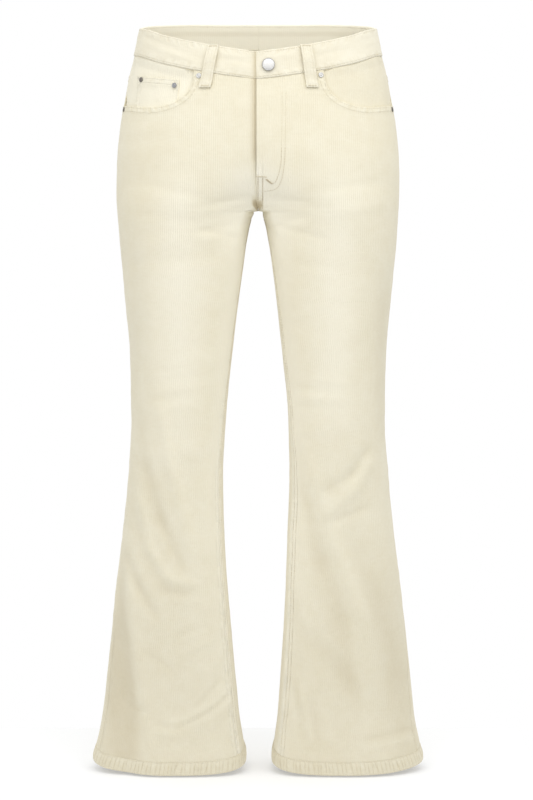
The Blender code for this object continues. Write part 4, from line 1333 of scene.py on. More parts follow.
WAIST_CREASES = (
    # the right half, seen at the left: folds along the band
    (143, 36, 182, 52, 2.6, -0.7),
    (150, 46, 196, 62, 2.6, 0.5),
    (216, 58, 252, 63, 2.6, -0.6),
    (214, 50, 217, 74, 2.5, -0.7),
    (160, 60, 168, 70, 2.4, -0.5),
    (172, 62, 178, 72, 2.4, -0.5),
    (224, 54, 240, 58, 2.6, 0.4),
    (254, 52, 255, 78, 2.4, -0.7),
    # the left half, seen at the right
    (312, 56, 348, 49, 2.8, -0.5),
    (280, 56, 298, 54, 2.6, 0.4),
    (322, 66, 356, 58, 2.8, 0.4),
    (300, 50, 302, 76, 2.4, -0.5),
    (352, 44, 374, 38, 2.6, -0.5),
    (284, 70, 300, 66, 2.6, -0.4),
)


def waistband(side):
    word = WORDS[side]
    turns, run = band_turns(side)
    section = band_section()
    grid_points, grains, seams = [], [], []
    on_form = np.minimum(turns, QUARTER)
    tuck = soft_noise(run * 60, 0 * run + 3, 31 + side)
    path = path_along(section)
    for k, (drop, lift) in enumerate(section):
        z = waist_edge(on_form) - drop
        form = plain_form(side, turns, z)
        u, v = seen_at(form)
        outer = smoothstep(lift, -0.0012, 0.0006)
        crown = 0.0004 * math.sin(math.pi * min(max(drop / WAISTBAND_HEIGHT, 0), 1)) ** 0.6
        fold = creases(u, v, WAIST_CREASES) * smoothstep(np.sin(turns), 0.0, 0.25)
        ripple = 0.00035 * soft_noise(run * 45 + 7, np.full(len(run), drop * 90), 37 + side)
        rise = np.full(len(run), drop * 170)
        ripple = ripple + 0.00022 * soft_noise(run * 120 + drop * 70 + 7, rise, 39 + side)
        at_edges = bell(drop - 0.001, 0.003) + bell(drop - WAISTBAND_HEIGHT + 0.002, 0.003)
        sewn = 0.00025 * tuck * at_edges
        out = lift + band_lap(side, on_form) + (crown + sewn) * outer
        out = out + (fold + ripple) * (0.35 + 0.65 * outer)
        grid_points.append(form + plain_normal(side, turns, z) * out[:, None])
        grains.append(np.stack([run, np.full(len(run), -path[k])], axis=-1))
        from_edge = np.full(len(run), min(drop + 0.0003, WAISTBAND_HEIGHT - drop))
        seams.append(np.stack([np.where(outer > 0.5, from_edge, 1.0), run, np.full(len(run), 1.0)], axis=-1))
    points = np.array(grid_points).transpose(1, 0, 2)
    grain = np.array(grains).transpose(1, 0, 2)
    seam = np.array(seams).transpose(1, 0, 2)
    grain = np.concatenate([grain, grain[:, :1] - [0, path[-1]]], axis=1)
    # Painted shadow beside the right end where the left end laps over it, and painted light over the band's
    # inside face, held back along a line across it.
    beside_lap = 0.42 * bell(run - 0.003, 0.0040) if side < 0 else 0.0 * run
    facing = np.array([lift < WAISTBAND_PROUD - 0.6 * WAISTBAND_WALL for _, lift in section], float)
    inner_line = 0.16 * np.exp(-(((np.array([drop for drop, _ in section]) - 0.013) / 0.0030) ** 2))
    painted_light_and_shade = np.maximum(beside_lap[:, None], 0) - facing[None, :] * (1.0 - 5 * inner_line[None, :])
    made = grid_piece(
        f"waistband_{word}_half", points, grain, seam, band_finish, side < 0, closed_round=True, painted_light_and_shade=painted_light_and_shade
    )
    cap_ends(made, len(turns), len(section), side < 0)
    return made


def cap_ends(made, rows, columns, reverse):
    """Closes the two ends of a piece whose rows are rings."""
    mesh = bmesh.new()
    mesh.from_mesh(made.data)
    mesh.verts.ensure_lookup_table()
    first = [mesh.verts[i] for i in range(columns)]
    last = [mesh.verts[(rows - 1) * columns + i] for i in range(columns)]
    for ring, turned in ((first, reverse), (last, not reverse)):
        face = mesh.faces.new(ring[::-1] if turned else ring)
        face.smooth = False
    bmesh.ops.recalc_face_normals(mesh, faces=mesh.faces)
    mesh.to_mesh(made.data)
    mesh.free()


# ---- The hems ----------------------------------------------------------------------------------------------
def hem_section():
    """The hem's section as (drop from the hem seam, lift) pairs, round from its outer top."""
    half = HEM_WALL / 2
    outer = [(drop, 0.0003) for drop in np.linspace(0.0, HEM_HEIGHT - 0.0016, 14)]
    foot = [
        (HEM_HEIGHT - half + half * math.sin(a), 0.0003 - half + half * math.cos(a))
        for a in ROLL_ANGLES
    ]
    inner = [(drop, 0.0003 - HEM_WALL) for drop in np.linspace(HEM_HEIGHT - 0.0016, 0.0002, 7)]
    return outer + foot + inner


def hem_rope(side, run):
    """The uneven twist of the turned-up hem along its run."""
    twist = soft_noise(run * 190, 0 * run + 5, 41 + side) * 0.7
    return twist + soft_noise(run * 90, 0 * run + 8, 43 + side) * 0.6


def hem(side):
    word = WORDS[side]
    turns = np.linspace(-math.pi, math.pi, 1441)
    run = along_line(cloth_point(side, turns, hem_seam(turns)))
    count = 620
    asked = np.linspace(0, run[-1], count, endpoint=False)
    turns = np.interp(asked, run, turns)
    section = hem_section()
    path = path_along(section)
    rope = hem_rope(side, asked)
    grid_points, grains, seams, rib_groove_painted_shade = [], [], [], []
    for k, (drop, lift) in enumerate(section):
        z = hem_seam(turns) - drop
        slant = hem_rope(side, asked + drop * 0.5)
        bar = np.abs(np.sin(math.pi * (asked + drop * 0.15) / 0.0060 + 1.1 * rope))
        middle = math.exp(-(((drop - HEM_HEIGHT * 0.5) / (HEM_HEIGHT * 0.42)) ** 2))
        # Painted shade in the grooves between the hem's ribs.
        rib_groove_painted_shade.append((0.38 * bell(bar, 0.32) + 0.05 * slant) * middle)
        puff = 0.0010 * math.sin(math.pi * min(max(drop / HEM_HEIGHT, 0), 1)) ** 0.6 - 0.0003
        outer = float(smoothstep(lift, -0.0014, 0.0))
        ribs = (0.0004 * slant + 0.0009 * (bar**0.7 - 0.6)) * middle
        wall_lift = lift + (puff + ribs) * (0.3 + 0.7 * outer)
        grid_points.append(cloth_point(side, turns, z, wall_lift))
        grains.append(np.stack([asked, np.full(count, -path[k])], axis=-1))
        seams.append(np.stack([np.full(count, drop), asked, np.full(count, 1.0)], axis=-1))
    points = np.array(grid_points)
    grain = np.array(grains)
    grain = np.concatenate([grain, grain[:, :1] + [run[-1], 0]], axis=1)
    seam = np.array(seams)
    made = grid_piece(
        f"hem_band_{word}", points, grain, seam, hem_finish, closed_round=True, painted_light_and_shade=np.array(rib_groove_painted_shade)
    )
    ring = len(section)
    mesh = bmesh.new()
    mesh.from_mesh(made.data)
    mesh.verts.ensure_lookup_table()
    uv = mesh.loops.layers.uv["grain"]
    for j in range(count):
        m = (j + 1) % count
        last = (ring - 1) * count
        face = mesh.faces.new([mesh.verts[i] for i in (last + j, j, m, last + m)])
        face.smooth = True
        for loop in face.loops:
            loop[uv].uv = (asked[j], 0.0)
    bmesh.ops.recalc_face_normals(mesh, faces=mesh.faces)
    mesh.to_mesh(made.data)
    mesh.free()
    return made


# ---- The yokes ---------------------------------------------------------------------------------------------
def yoke(side):
    word = WORDS[side]
    way = ways[side, "back"]
    shares = edge_steps(0.24, COLUMN_STEP) / 0.24
    tops = way.settle(shares, lambda turn: waist_seam(turn) - SEAM_GAP / 2)[1]
    feet = way.settle(shares, lambda turn: yoke_seam(turn) + SEAM_GAP / 2)[1]
    fractions = np.concatenate([np.linspace(0, 0.9, 18), [0.94, 0.965, 0.985, 1.0]])
    heights = tops + (feet - tops) * fractions[:, None]
    turns = way.turn(shares[None, :], heights)
    from_inner = run = way.run(shares[None, :], heights)
    from_side = way.width(heights) - from_inner
    above_foot = (heights - feet) * np.ones_like(turns)
    pucker = soft_noise(run * 140, above_foot * 60, 51 + side)
    lift = 0.0007 * (1 - smoothstep(above_foot, 0.009, 0.012))
    lift = lift + 0.0002 * pucker * bell(above_foot - 0.004, 0.004)
    lift = lift - 0.0007 * bell(above_foot, 0.0010) - 0.0007 * bell(from_side, 0.0016)
    lift = lift + side * 0.0005 * (1 - smoothstep(from_inner, 0.004, 0.016))
    points = cloth_point(side, turns, heights, lift)
    grain = way.grain(shares[None, :], heights)
    seam = np.stack([above_foot, run, from_side], axis=-1)
    made = grid_piece(f"yoke_panel_{word}", points, grain, seam, cloth_finish, side > 0)
    return thicken(made, CLOTH)


# ---- The cloth behind the pocket mouths --------------------------------------------------------------------
def bearer(side):
    word = WORDS[side]
    way = ways[side, "front"]
    mouth_turns, mouth_heights = mouth_line(side)
    start = way.share(mouth_turns[0], mouth_heights[0])
    shares = np.linspace(start - 0.06, 1.0, 70)
    tops = way.settle(shares, lambda turn: waist_seam(turn) - SEAM_GAP / 2)[1]
    mouth_shares = [way.share(t, z) for t, z in zip(mouth_turns, mouth_heights)]
    feet = np.interp(shares, mouth_shares, mouth_heights) - 0.016
    feet = np.minimum(feet, tops - 0.014)
    heights = tops + (feet - tops) * np.linspace(0, 1, 48)[:, None]
    turns = way.turn(shares[None, :], heights)
    from_side = way.width(heights) - way.run(shares[None, :], heights)
    above_mouth = heights - (mouth_heights[-1] + 0.004)
    at_seam = (1 - smoothstep(from_side, 0.0, 0.020)) * smoothstep(above_mouth, 0.0, 0.014)
    sag = 0.0006 * soft_noise(from_side * 45 + 3, heights * 40, 61 + side)
    beyond_start = way.run(shares[None, :], heights) - way.run(start, heights)
    at_band = smoothstep(beyond_start, 0.004, 0.016) * (1 - smoothstep(tops - heights, 0.0, 0.014))
    sink = BEARER_SINK[side] * (1 - at_seam) * (1 - 0.9 * at_band)
    lift = -sink + sag * smoothstep(from_side, 0.004, 0.02) - 0.0002
    points = cloth_point(side, turns, heights, lift)
    grain = way.grain(shares[None, :], heights)
    seam = np.stack([np.full(heights.shape, 1.0), -heights, from_side], axis=-1)
    edge = np.array([cloth_point(side, t, z) for t, z in zip(mouth_turns, mouth_heights)])
    to_mouth, _ = nearest_on(edge, points)
    steep = smoothstep(heights, mouth_heights[-1] + 0.006, mouth_heights[-1] + 0.016)
    # Painted shadow along the pocket mouth's edge, painted light over the right bearer and a little painted
    # shade over the left one.
    painted_light_and_shade = (0.10 + 0.30 * steep) * bell(to_mouth, 0.0026) - (0.55 if side < 0 else -0.05)
    made = grid_piece(f"bearer_{word}", points, grain, seam, cloth_finish, side < 0, painted_light_and_shade=painted_light_and_shade)
    return thicken(made, CLOTH * 0.8)


# The coin pocket's corners as x and z: the outer and inner top ones, then the inner and outer low ones.
COIN_CORNERS = ((-0.1680, -0.0690), (-0.1085, -0.0765), (-0.1135, -0.1300), (-0.1720, -0.1300))
COIN_HEM = 0.011


def coin_pocket():
    """The small pocket on the cloth behind the right pocket mouth."""
    corners = [np.array((turn_at("front", x, z), z)) for x, z in COIN_CORNERS]
    down = edge_steps(0.052, 0.0025) / 0.052
    across = edge_steps(0.056, 0.0025) / 0.056
    left = corners[0] + (corners[3] - corners[0]) * down[:, None]
    right = corners[1] + (corners[2] - corners[1]) * down[:, None]
    place = left[:, None] + (right - left)[:, None] * across[None, :, None]
    turns, heights = place[..., 0], place[..., 1]
    rest = cloth_point(-1, turns, heights)
    from_top = np.linalg.norm(rest - rest[:1], axis=-1)
    from_inner = np.linalg.norm(rest - rest[:, -1:], axis=-1)
    from_outer = np.linalg.norm(rest - rest[:, :1], axis=-1)
    base = -BEARER_SINK[-1] + COIN_POCKET_WALL + LAYER_GAP
    gape = 0.0011 * bell(from_top, 0.010) * np.sin(np.pi * across)[None, :]
    wrinkle = 0.0005 * soft_noise(turns * 9, heights * 90, 67)
    hem_pad = 0.0005 * (1 - smoothstep(from_top, COIN_HEM - 0.001, COIN_HEM + 0.001))
    edge = -0.0005 * np.exp(-((np.minimum(from_inner, from_outer) / 0.0012) ** 2))
    lift = base + gape + wrinkle + hem_pad + edge
    points = cloth_point(-1, turns, heights, lift)
    grain = np.stack([-(turns - 0.5) * 0.15, heights], axis=-1)
    stitched = np.minimum(from_top, np.minimum(from_inner, from_outer))
    along = np.where(stitched == from_top, from_outer, -heights)
    seam = np.stack([stitched, along, np.full(turns.shape, 1.0)], axis=-1)
    # The patch is painted a little lighter all over: painted light.
    made = grid_piece("coin_pocket_patch", points, grain, seam, cloth_finish, painted_light_and_shade=-0.45)
    return thicken(made, COIN_POCKET_WALL)


def fly_backing():
    """The strip of cloth behind the fly opening."""
    heights = np.linspace(float(waist_seam(QUARTER)), FLY_BOTTOM_Z, 24)
    across = np.linspace(-0.006, 0.030, 12)
    x, z = np.meshgrid(across, heights)
    points, _ = on_front(x, z, -0.0044)
    grain = np.stack([x, z], axis=-1)
    made = grid_piece("fly_backing", points, grain, None, cloth_finish)
    return thicken(made, CLOTH)


# ---- The back pockets --------------------------------------------------------------------------------------
def pocket_outline(side, rows, columns):
    """The x and z of a back pocket's points, from its top edge down to its pointed foot."""
    shares = np.linspace(-1, 1, columns)
    fractions = np.array(rows)[:, None]
    foot = BACK_POCKET_CORNER_Z + (BACK_POCKET_POINT_Z - BACK_POCKET_CORNER_Z) * (1 - np.abs(shares[None, :]))
    z = BACK_POCKET_TOP_Z + (foot - BACK_POCKET_TOP_Z) * fractions
    slack = (z - BACK_POCKET_TOP_Z) / (BACK_POCKET_CORNER_Z - BACK_POCKET_TOP_Z)
    narrowing = (BACK_POCKET_FOOT_WIDTH - BACK_POCKET_TOP_WIDTH) * np.clip(slack, 0, 1)
    half = (BACK_POCKET_TOP_WIDTH + narrowing) / 2
    return side * (BACK_POCKET_CENTRE_X + shares[None, :] * half), z, half * (1 - np.abs(shares[None, :]))


def back_pocket(side):
    word = WORDS[side]
    rows = edge_steps(0.125, 0.0030) / 0.125
    x, z, from_flank = pocket_outline(side, rows, 47)
    turns = turn_at("back", x, z)
    from_top = BACK_POCKET_TOP_Z - z
    foot = z[-1:]
    from_foot = (z - foot) * 0.94
    rim = np.minimum(from_flank, from_foot)
    gape = 0.0022 * bell(from_top, 0.016) * np.clip(from_flank / 0.06, 0, 1) ** 0.6
    hem_pad = 0.0006 * (1 - smoothstep(from_top, 0.021, 0.023))
    pucker = 0.0003 * soft_noise(-z * 130, x * 40, 71 + side) * bell(rim - 0.004, 0.004)
    wear = 0.0007 * soft_noise(x * 30, z * 34, 73 + side)
    edge = -0.0011 * bell(rim, 0.0013)
    lift = CLOTH + LAYER_GAP + 0.0006 + gape + hem_pad + pucker + edge + wear * smoothstep(rim, 0.004, 0.03)
    points = cloth_point(side, turns, z, lift)
    grain = np.stack([-(x - side * BACK_POCKET_CENTRE_X), z], axis=-1)
    stitched = np.minimum(rim, from_top)
    along = np.where(stitched == rim, -z, x)
    seam = np.stack([stitched, along, np.full(x.shape, 1.0)], axis=-1)
    made = grid_piece(f"seat_pocket_{word}", points, grain, seam, cloth_finish, side < 0)
    return thicken(made, CLOTH)


def back_pocket_stitches(sewing, side):
    for inset in POCKET_ROWS:
        rows = np.linspace(inset / 0.115, 1, 50)
        x, z, _ = pocket_outline(side, rows, 3)
        centre = side * BACK_POCKET_CENTRE_X
        for flank, way_in in ((0, 1), (2, -1)):
            line_x = x[:, flank] + side * way_in * inset
            line_z = z[:, flank].copy()
            foot_z = BACK_POCKET_CORNER_Z + inset * 0.9
            keep = line_z > foot_z
            corner_x = float(np.interp(-foot_z, -line_z, line_x))
            path_x = np.concatenate([line_x[keep], [corner_x], [centre]])
            path_z = np.concatenate([line_z[keep], [foot_z], [BACK_POCKET_POINT_Z + inset * 1.08]])
            sewing.row(*resampled_back(path_x, path_z, CLOTH + LAYER_GAP + 0.0008))
    for drop in (0.0150, 0.0205):
        x = side * (BACK_POCKET_CENTRE_X + np.linspace(-1, 1, 60) * (BACK_POCKET_TOP_WIDTH / 2 - 0.003))
        sewing.row(*on_front(x, BACK_POCKET_TOP_Z - drop, CLOTH + LAYER_GAP + 0.0019, "back"))


def resampled_back(x, z, lift):
    run = along_line(np.stack([x, z], 1))
    asked = np.linspace(0, run[-1], max(int(run[-1] / 0.002), 2))
    return on_front(np.interp(asked, run, x), np.interp(asked, run, z), lift, "back")


# ---- The belt loops ----------------------------------------------------------------------------------------
def loop_path(side, top_turn, foot_turn):
    """The middle line of a belt loop: its points, its directions outwards and across."""
    rests = WAISTBAND_PROUD + LAYER_GAP + 0.0003
    length = WAISTBAND_HEIGHT + LOOP_BELOW_SEAM
    stations = (
        (0.0006, rests - 0.0020),
        (0.0003, rests),
        (0.0030, rests + 0.0010),
        (0.0100, rests + LOOP_STAND_OFF),
        (WAISTBAND_HEIGHT / 2, rests + LOOP_STAND_OFF + 0.0010),
        (WAISTBAND_HEIGHT - 0.006, rests + LOOP_STAND_OFF),
        (WAISTBAND_HEIGHT + 0.003, rests + 0.0004),
        (WAISTBAND_HEIGHT + 0.010, 0.0013),
        (length, 0.0012),
    )
    down = np.array([station[0] for station in stations])
    lifts = np.array([station[1] for station in stations])
    run = along_line(np.array(stations))
    asked = edge_steps(run[-1], 0.0019)
    down, lifts = smooth_curve(run, down)(asked), smooth_curve(run, lifts)(asked)
    middle, outwards, across = [], [], []
    if top_turn < 0:
        down = down + 0.0012
    for fall, lift in zip(down, lifts):
        turn = math.radians(top_turn + (foot_turn - top_turn) * max(fall, 0) / length)
        z = np.array(float(waist_edge(turn)) - fall)
        form = plain_form(side, np.array(turn), z)
        normal = plain_normal(side, np.array(turn), z)
        before, after = (plain_form(side, np.array(turn + shift), z) for shift in (-0.01, 0.01))
        step = (before - after) * side
        middle.append(form + normal * lift)
        outwards.append(normal)
        across.append(step / np.linalg.norm(step))
    return np.array(middle), np.array(outwards), np.array(across), asked


def belt_loop(sewing, name, side, top_turn, foot_turn):
    middle, outwards, across, run = loop_path(side, top_turn, foot_turn)
    half, wall = LOOP_WIDTH / 2, LOOP_WALL
    face = np.linspace(-1, 1, 15)
    sewn_in = [0.0003 * math.exp(-(((abs(s) - 0.66) / 0.1) ** 2)) for s in face]
    front = [(half * s, wall - 0.00035 * (abs(s) > 0.9) - sunk) for s, sunk in zip(face, sewn_in)]
    back = [(half * s, 0.0) for s in face[::-2]]
    ring = np.array(front + [(half * 1.02, wall * 0.5)] + back + [(-half * 1.02, wall * 0.5)])
    sway = 1.05 + 0.15 * (run / run[-1]) + 0.05 * soft_noise(run * 60, 0 * run, len(name))
    rough = 0.0002 * soft_noise(run[:, None] * 160, ring[None, :, 0] * 200, 81)[..., None]
    points = (
        middle[:, None]
        + across[:, None] * (ring[None, :, :1] * sway[:, None, None])
        + outwards[:, None] * (ring[None, :, 1:] + rough)
    )
    path = along_line(np.vstack([ring, ring[:1]]))
    grain = np.stack(np.meshgrid(path, -run), axis=-1)
    from_flank = half - np.abs(ring[:, 0])
    shape = points.shape[:2]
    seam = [np.broadcast_to(from_flank, shape), np.broadcast_to(run[:, None], shape), np.full(shape, 1.0)]
    seam = np.stack(seam, axis=-1)
    made = grid_piece(f"loop_{name}", points, grain, seam, loop_finish, side > 0, closed_round=True)
    cap_ends(made, len(run), len(ring), side > 0)
    inside = (run > 0.004) & (run < run[-1] - 0.001)
    for shift in (-0.66, 0.66):
        line = middle + across * half * shift + outwards * (wall - 0.0002)
        sewing.row(line[inside], outwards[inside], pitch=0.0031, length=0.0025)
    for where in (0.0050, run[-1] - 0.0022):
        k = int(np.argmin(np.abs(run - where)))
        ends = np.linspace(-0.8, 0.8, 12)[:, None] * half * across[k] + middle[k]
        ends = ends + outwards[k] * (wall + 0.0001)
        for shift in (-0.0006, 0.0, 0.0006):
            lean = middle[min(k + 1, len(run) - 1)] - middle[k - 1]
            tack = ends + lean / np.linalg.norm(lean) * shift
            sewing.row(tack, np.tile(outwards[k], (12, 1)), pitch=0.0011, length=0.0013, radius=0.00026)
    return made


# ---- The button and the rivets -----------------------------------------------------------------------------
def turned_piece(name, profile, steps, finishes, dark_from):
    """A turned metal piece, drawn up ring by ring from its foot.

    Faces that reach further out than dark_from take the second finish."""
    bpy.ops.object.select_all(action="DESELECT")
    radius, height = profile[0]
    foot = (0, 0, height)
    bpy.ops.mesh.primitive_circle_add(vertices=steps, radius=radius, fill_type="NGON", location=foot)
    made = bpy.context.object
    made.name = name
    bpy.ops.object.transform_apply(location=True)
    bpy.ops.object.mode_set(mode="EDIT")
    bpy.ops.mesh.select_mode(type="EDGE")
    bpy.ops.mesh.select_all(action="SELECT")
    for next_radius, next_height in profile[1:]:
        bpy.ops.mesh.extrude_edges_move(TRANSFORM_OT_translate={"value": (0, 0, next_height - height)})
        scale = next_radius / radius
        bpy.ops.transform.resize(value=(scale, scale, 1), center_override=(0, 0, next_height))
        radius, height = next_radius, next_height
    bpy.ops.mesh.edge_face_add()
    bpy.ops.mesh.select_all(action="SELECT")
    bpy.ops.mesh.normals_make_consistent(inside=False)
    bpy.ops.object.mode_set(mode="OBJECT")
    made.data.name = name
    for finish in finishes:
        made.data.materials.append(finish)
    for face in made.data.polygons:
        out = max(math.hypot(*made.data.vertices[i].co[:2]) for i in face.vertices)
        face.material_index = 1 if out > dark_from else 0
        face.use_smooth = True
    return made


def put_on(made, point, normal):
    turn = Vector(normal).to_track_quat("Z", "Y").to_matrix().to_4x4()
    made.data.transform(Matrix.Translation(Vector(point)) @ turn)
    made.data.update()
    smooth = made.modifiers.new("smooth", "SUBSURF")
    smooth.levels = smooth.render_levels = 1
    return made


BUTTON_RADIUS = 0.00875


def shank_button():
    r = BUTTON_RADIUS
    profile = (
        (r * 0.42, 0.0),
        (r * 0.42, 0.0014),
        (r * 0.80, 0.0016),
        (r * 0.97, 0.0019),
        (r * 1.00, 0.0025),
        (r * 0.99, 0.0032),
        (r * 0.95, 0.0037),
        (r * 0.91, 0.0038),
        (r * 0.875, 0.0035),
        (r * 0.85, 0.0034),
        (r * 0.82, 0.0036),
        (r * 0.76, 0.0037),
        (r * 0.50, 0.0039),
        (r * 0.20, 0.0040),
        (r * 0.03, 0.0040),
    )
    # The rim takes the darker finish, a painted dark reflection.
    return turned_piece("button", profile, 56, (plate_finish, dark_reflection_finish), r * 0.93)


def rivet(name, finishes):
    r = 0.0036
    profile = (
        (r * 0.96, 0.0),
        (r * 1.00, 0.0004),
        (r * 0.97, 0.0008),
        (r * 0.84, 0.00105),
        (r * 0.62, 0.0010),
        (r * 0.52, 0.0008),
        (r * 0.44, 0.0008),
        (r * 0.38, 0.0012),
        (r * 0.26, 0.0015),
        (r * 0.10, 0.0016),
        (r * 0.03, 0.0016),
    )
    return turned_piece(f"rivet_{name}", profile, 28, finishes, r * 0.99)


# ---- Rows of stitches --------------------------------------------------------------------------------------
def mouth_stitches(sewing, side):
    turns, heights = mouth_line(side, 90)
    edge = cloth_point(side, turns, heights)
    normals = plain_normal(side, turns, heights)
    along = np.gradient(edge, axis=0)
    along /= np.linalg.norm(along, axis=1, keepdims=True)
    away = np.cross(normals, along) * side
    if away[0, 0] * side > 0:
        away = -away
    for inset in SEAM_ROWS:
        line = edge + away * inset
        keep = (np.abs(line[:, 0]) < 0.1905) & (line[:, 2] < waist_seam(turns) - 0.001)
        x, z = line[keep, 0], line[keep, 2]
        run = along_line(np.stack([x, z], 1))
        if len(run) > 2:
            points, normal = on_front(x, z, 0.0004)
            sewing.row(points, normal)


def leg_stitches(sewing, side, panel, insets, start_z, lift=0.0006):
    """Rows down a panel's inner seam, at distances from it."""
    way = ways[side, panel]
    heights = np.linspace(start_z, HEM_Z + HEM_HEIGHT + 0.004, 420)
    for inset in insets:
        turns = way.turn(way.share_of_run(inset, heights), heights)
        sewing.row(*surface_row(side, turns, heights, lift))


def level_stitches(sewing, side, height_of, lift):
    """A row right across the back, whose height depends on the turn."""
    turns, heights = ways[side, "back"].settle(np.linspace(0.0, 1.0, 160), height_of)
    sewing.row(*surface_row(side, turns, heights, lift))


def band_stitches(sewing, side):
    turns, _ = band_turns(side)
    on_form = np.minimum(turns, QUARTER)
    for drop in (0.0028, WAISTBAND_HEIGHT - 0.0026):
        z = waist_edge(on_form) - drop
        lift = WAISTBAND_PROUD + band_lap(side, on_form) + 0.00012
        form = plain_form(side, turns, z)
        normal = plain_normal(side, turns, z)
        u, v = seen_at(form)
        fold = creases(u, v, WAIST_CREASES) * smoothstep(np.sin(turns), 0.0, 0.25)
        sewing.row(form + normal * (lift + fold)[:, None], normal)
        inside = form + normal * (WAISTBAND_PROUD - WAISTBAND_WALL - 0.0001)
        sewing.row(inside, -normal)
    if side > 0:
        drops = np.linspace(0.003, WAISTBAND_HEIGHT - 0.003, 24)
        z = float(waist_edge(QUARTER)) - drops
        form = plain_form(1, np.full(24, QUARTER), z)
        normal = plain_normal(1, np.full(24, QUARTER), z)
        sewing.row(form + normal * (WAISTBAND_PROUD + 0.0013), normal)


def hem_stitches(sewing, side):
    turns = np.linspace(-math.pi, math.pi, 500)
    sewing.row(*surface_row(side, turns, hem_seam(turns) - 0.0012, 0.0004), pitch=0.0038, length=0.0031)


def fly_stitches(sewing, tacks):
    """The curved double row beside the fly, its bar tacks, and the rows down to the crotch."""
    for line in (
        ((282.2, 92.0), (282.0, 120.0), (281.6, 146.0)),
        ((286.0, 91.6), (285.6, 120.0), (285.1, 146.0)),
    ):
        sewing.row(*front_line(line, 0.00035, beside_fly=True), radius=0.00020)
    for line in (
        ((281.6, 147.0), (281.2, 160.0), (278.6, 174.0), (273.3, 183.0), (270.0, 182.0)),
        ((285.1, 147.0), (284.6, 160.0), (282.0, 178.0), (278.0, 187.0), (271.7, 190.2), (264.0, 190.8)),
    ):
        tacks.row(*front_line(line, 0.0005, beside_fly=True), radius=0.00024)
    for x in (257.9, 262.8):
        down = ((x, 177.5), (x, 190.0), (x - 0.1, 200.0), (x - 0.2, 209.0))
        tacks.row(*front_line(down, 0.0006, beside_fly=True), radius=0.00038)
    across = ((255.9, 176.4), (261.0, 176.2), (266.8, 176.6))
    tacks.row(*front_line(across, 0.0008, beside_fly=True), pitch=0.0016, length=0.0019, radius=0.00040)
    for k in range(4):
        tack = ((265.6 + 0.5 * k, 178.8), (268.4 + 0.5 * k, 181.2), (271.4 + 0.5 * k, 183.6))
        tacks.row(*front_line(tack, 0.0007, beside_fly=True), pitch=0.0012, length=0.0015)


def seat_stitches(sewing):
    """The double row beside the centre back seam."""
    heights = np.linspace(float(yoke_seam(-QUARTER)) - 0.001, CROTCH_Z + 0.030, 90)
    for x in SEAT_ROWS:
        sewing.row(*on_front(np.full(90, x), heights, 0.0008, "back"))
    heights = np.linspace(float(waist_seam(-QUARTER)) - 0.001, float(yoke_seam(-QUARTER)) + 0.001, 30)
    for x in SEAT_ROWS:
        sewing.row(*on_front(np.full(30, x), heights, 0.0008, "back"))


# ---- Build -------------------------------------------------------------------------------------------------
hem_finish = corduroy_finish("corduroy_hem", groove=1.2, sewn=(0.0012,), welt_shade=0.9)
loop_finish = corduroy_finish("corduroy_loop", CREAM_BAND, groove=0.8, welt_shade=0.9)


def keep(made, node=None, slot="corduroy", cut=None, hangs_from=()):
    """Rides a finished piece on the garment, in place of a CAD node if one is named. The cut is not used."""
    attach(made, "root")
    if node:
        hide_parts(node)
    return made


# The cut of each piece of cloth without its seam allowances: width, length and area, in metres. A doubled
# piece counts by the side that shows. The areas were measured on the finished pieces, so a share near 1
# follows from them and tests nothing. The widths and lengths are rounded estimates.
FRONT_CUT = (0.30, 0.98, 0.199)
BACK_CUT = (0.36, 0.97, 0.271)
YOKE_CUT = (0.072, 0.235, 0.0142)
BEARER_CUT = (0.100, 0.130, 0.0109)
COIN_POCKET_CUT = (0.064, 0.068, 0.0042)
FLY_BACKING_CUT = (0.038, 0.127, 0.0048)
SEAT_POCKET_CUT = (0.139, 0.150, 0.0179)
WAISTBAND_CUT = (0.041, 0.430, 0.0176)
HEM_CUT = (0.022, 0.560, 0.0123)
LOOP_CUT = (0.016, 0.070, 0.0011)


add_camera()
sewing = {
    name: Stitching(f"stitches_{name}", shade_darkened_stitch_finish if name == "tacks" else stitch_finish)
    for name in ("front", "back", "waistband", "legs", "hems", "loops", "tacks")
}
for side in (-1, 1):
    word = WORDS[side]
    front = leg_panel(side, "front")
    band = f"waistband_{word}_half"
    keep(front, f"front_{word}", cut=FRONT_CUT, hangs_from=[band, f"bearer_{word}"])
    back = leg_panel(side, "back")
    keep(back, f"back_{word}", cut=BACK_CUT, hangs_from=[f"yoke_panel_{word}"])
    keep(waistband(side), f"waistband_{word}", cut=WAISTBAND_CUT)
    keep(hem(side), f"hem_{word}", cut=HEM_CUT, hangs_from=[front, back])
    keep(yoke(side), f"yoke_{word}", cut=YOKE_CUT, hangs_from=[band])
    keep(bearer(side), f"pocket_bearer_{word}", cut=BEARER_CUT, hangs_from=[band])
    keep(back_pocket(side), f"back_pocket_{word}", cut=SEAT_POCKET_CUT, hangs_from=[back])
    mouth_stitches(sewing["front"], side)
    leg_stitches(sewing["legs"], side, "front" if side > 0 else "back", INNER_ROWS, CROTCH_Z - 0.012)
    for lift_up in YOKE_ROWS:
        level_stitches(sewing["back"], side, lambda turn: yoke_seam(turn) + lift_up, 0.0007)
    band_stitches(sewing["waistband"], side)
    hem_stitches(sewing["hems"], side)
    back_pocket_stitches(sewing["back"], side)
keep(coin_pocket(), "coin_pocket", cut=COIN_POCKET_CUT, hangs_from=["bearer_right"])
keep(fly_backing(), "fly_shield", cut=FLY_BACKING_CUT, hangs_from=["waistband_right_half"])
for name, side, top_turn, foot_turn in BELT_LOOPS:
    band = f"waistband_{WORDS[side]}_half"
    loop = belt_loop(sewing["loops"], name, side, top_turn, foot_turn)
    keep(loop, f"belt_loop_{name}", cut=LOOP_CUT, hangs_from=[band])
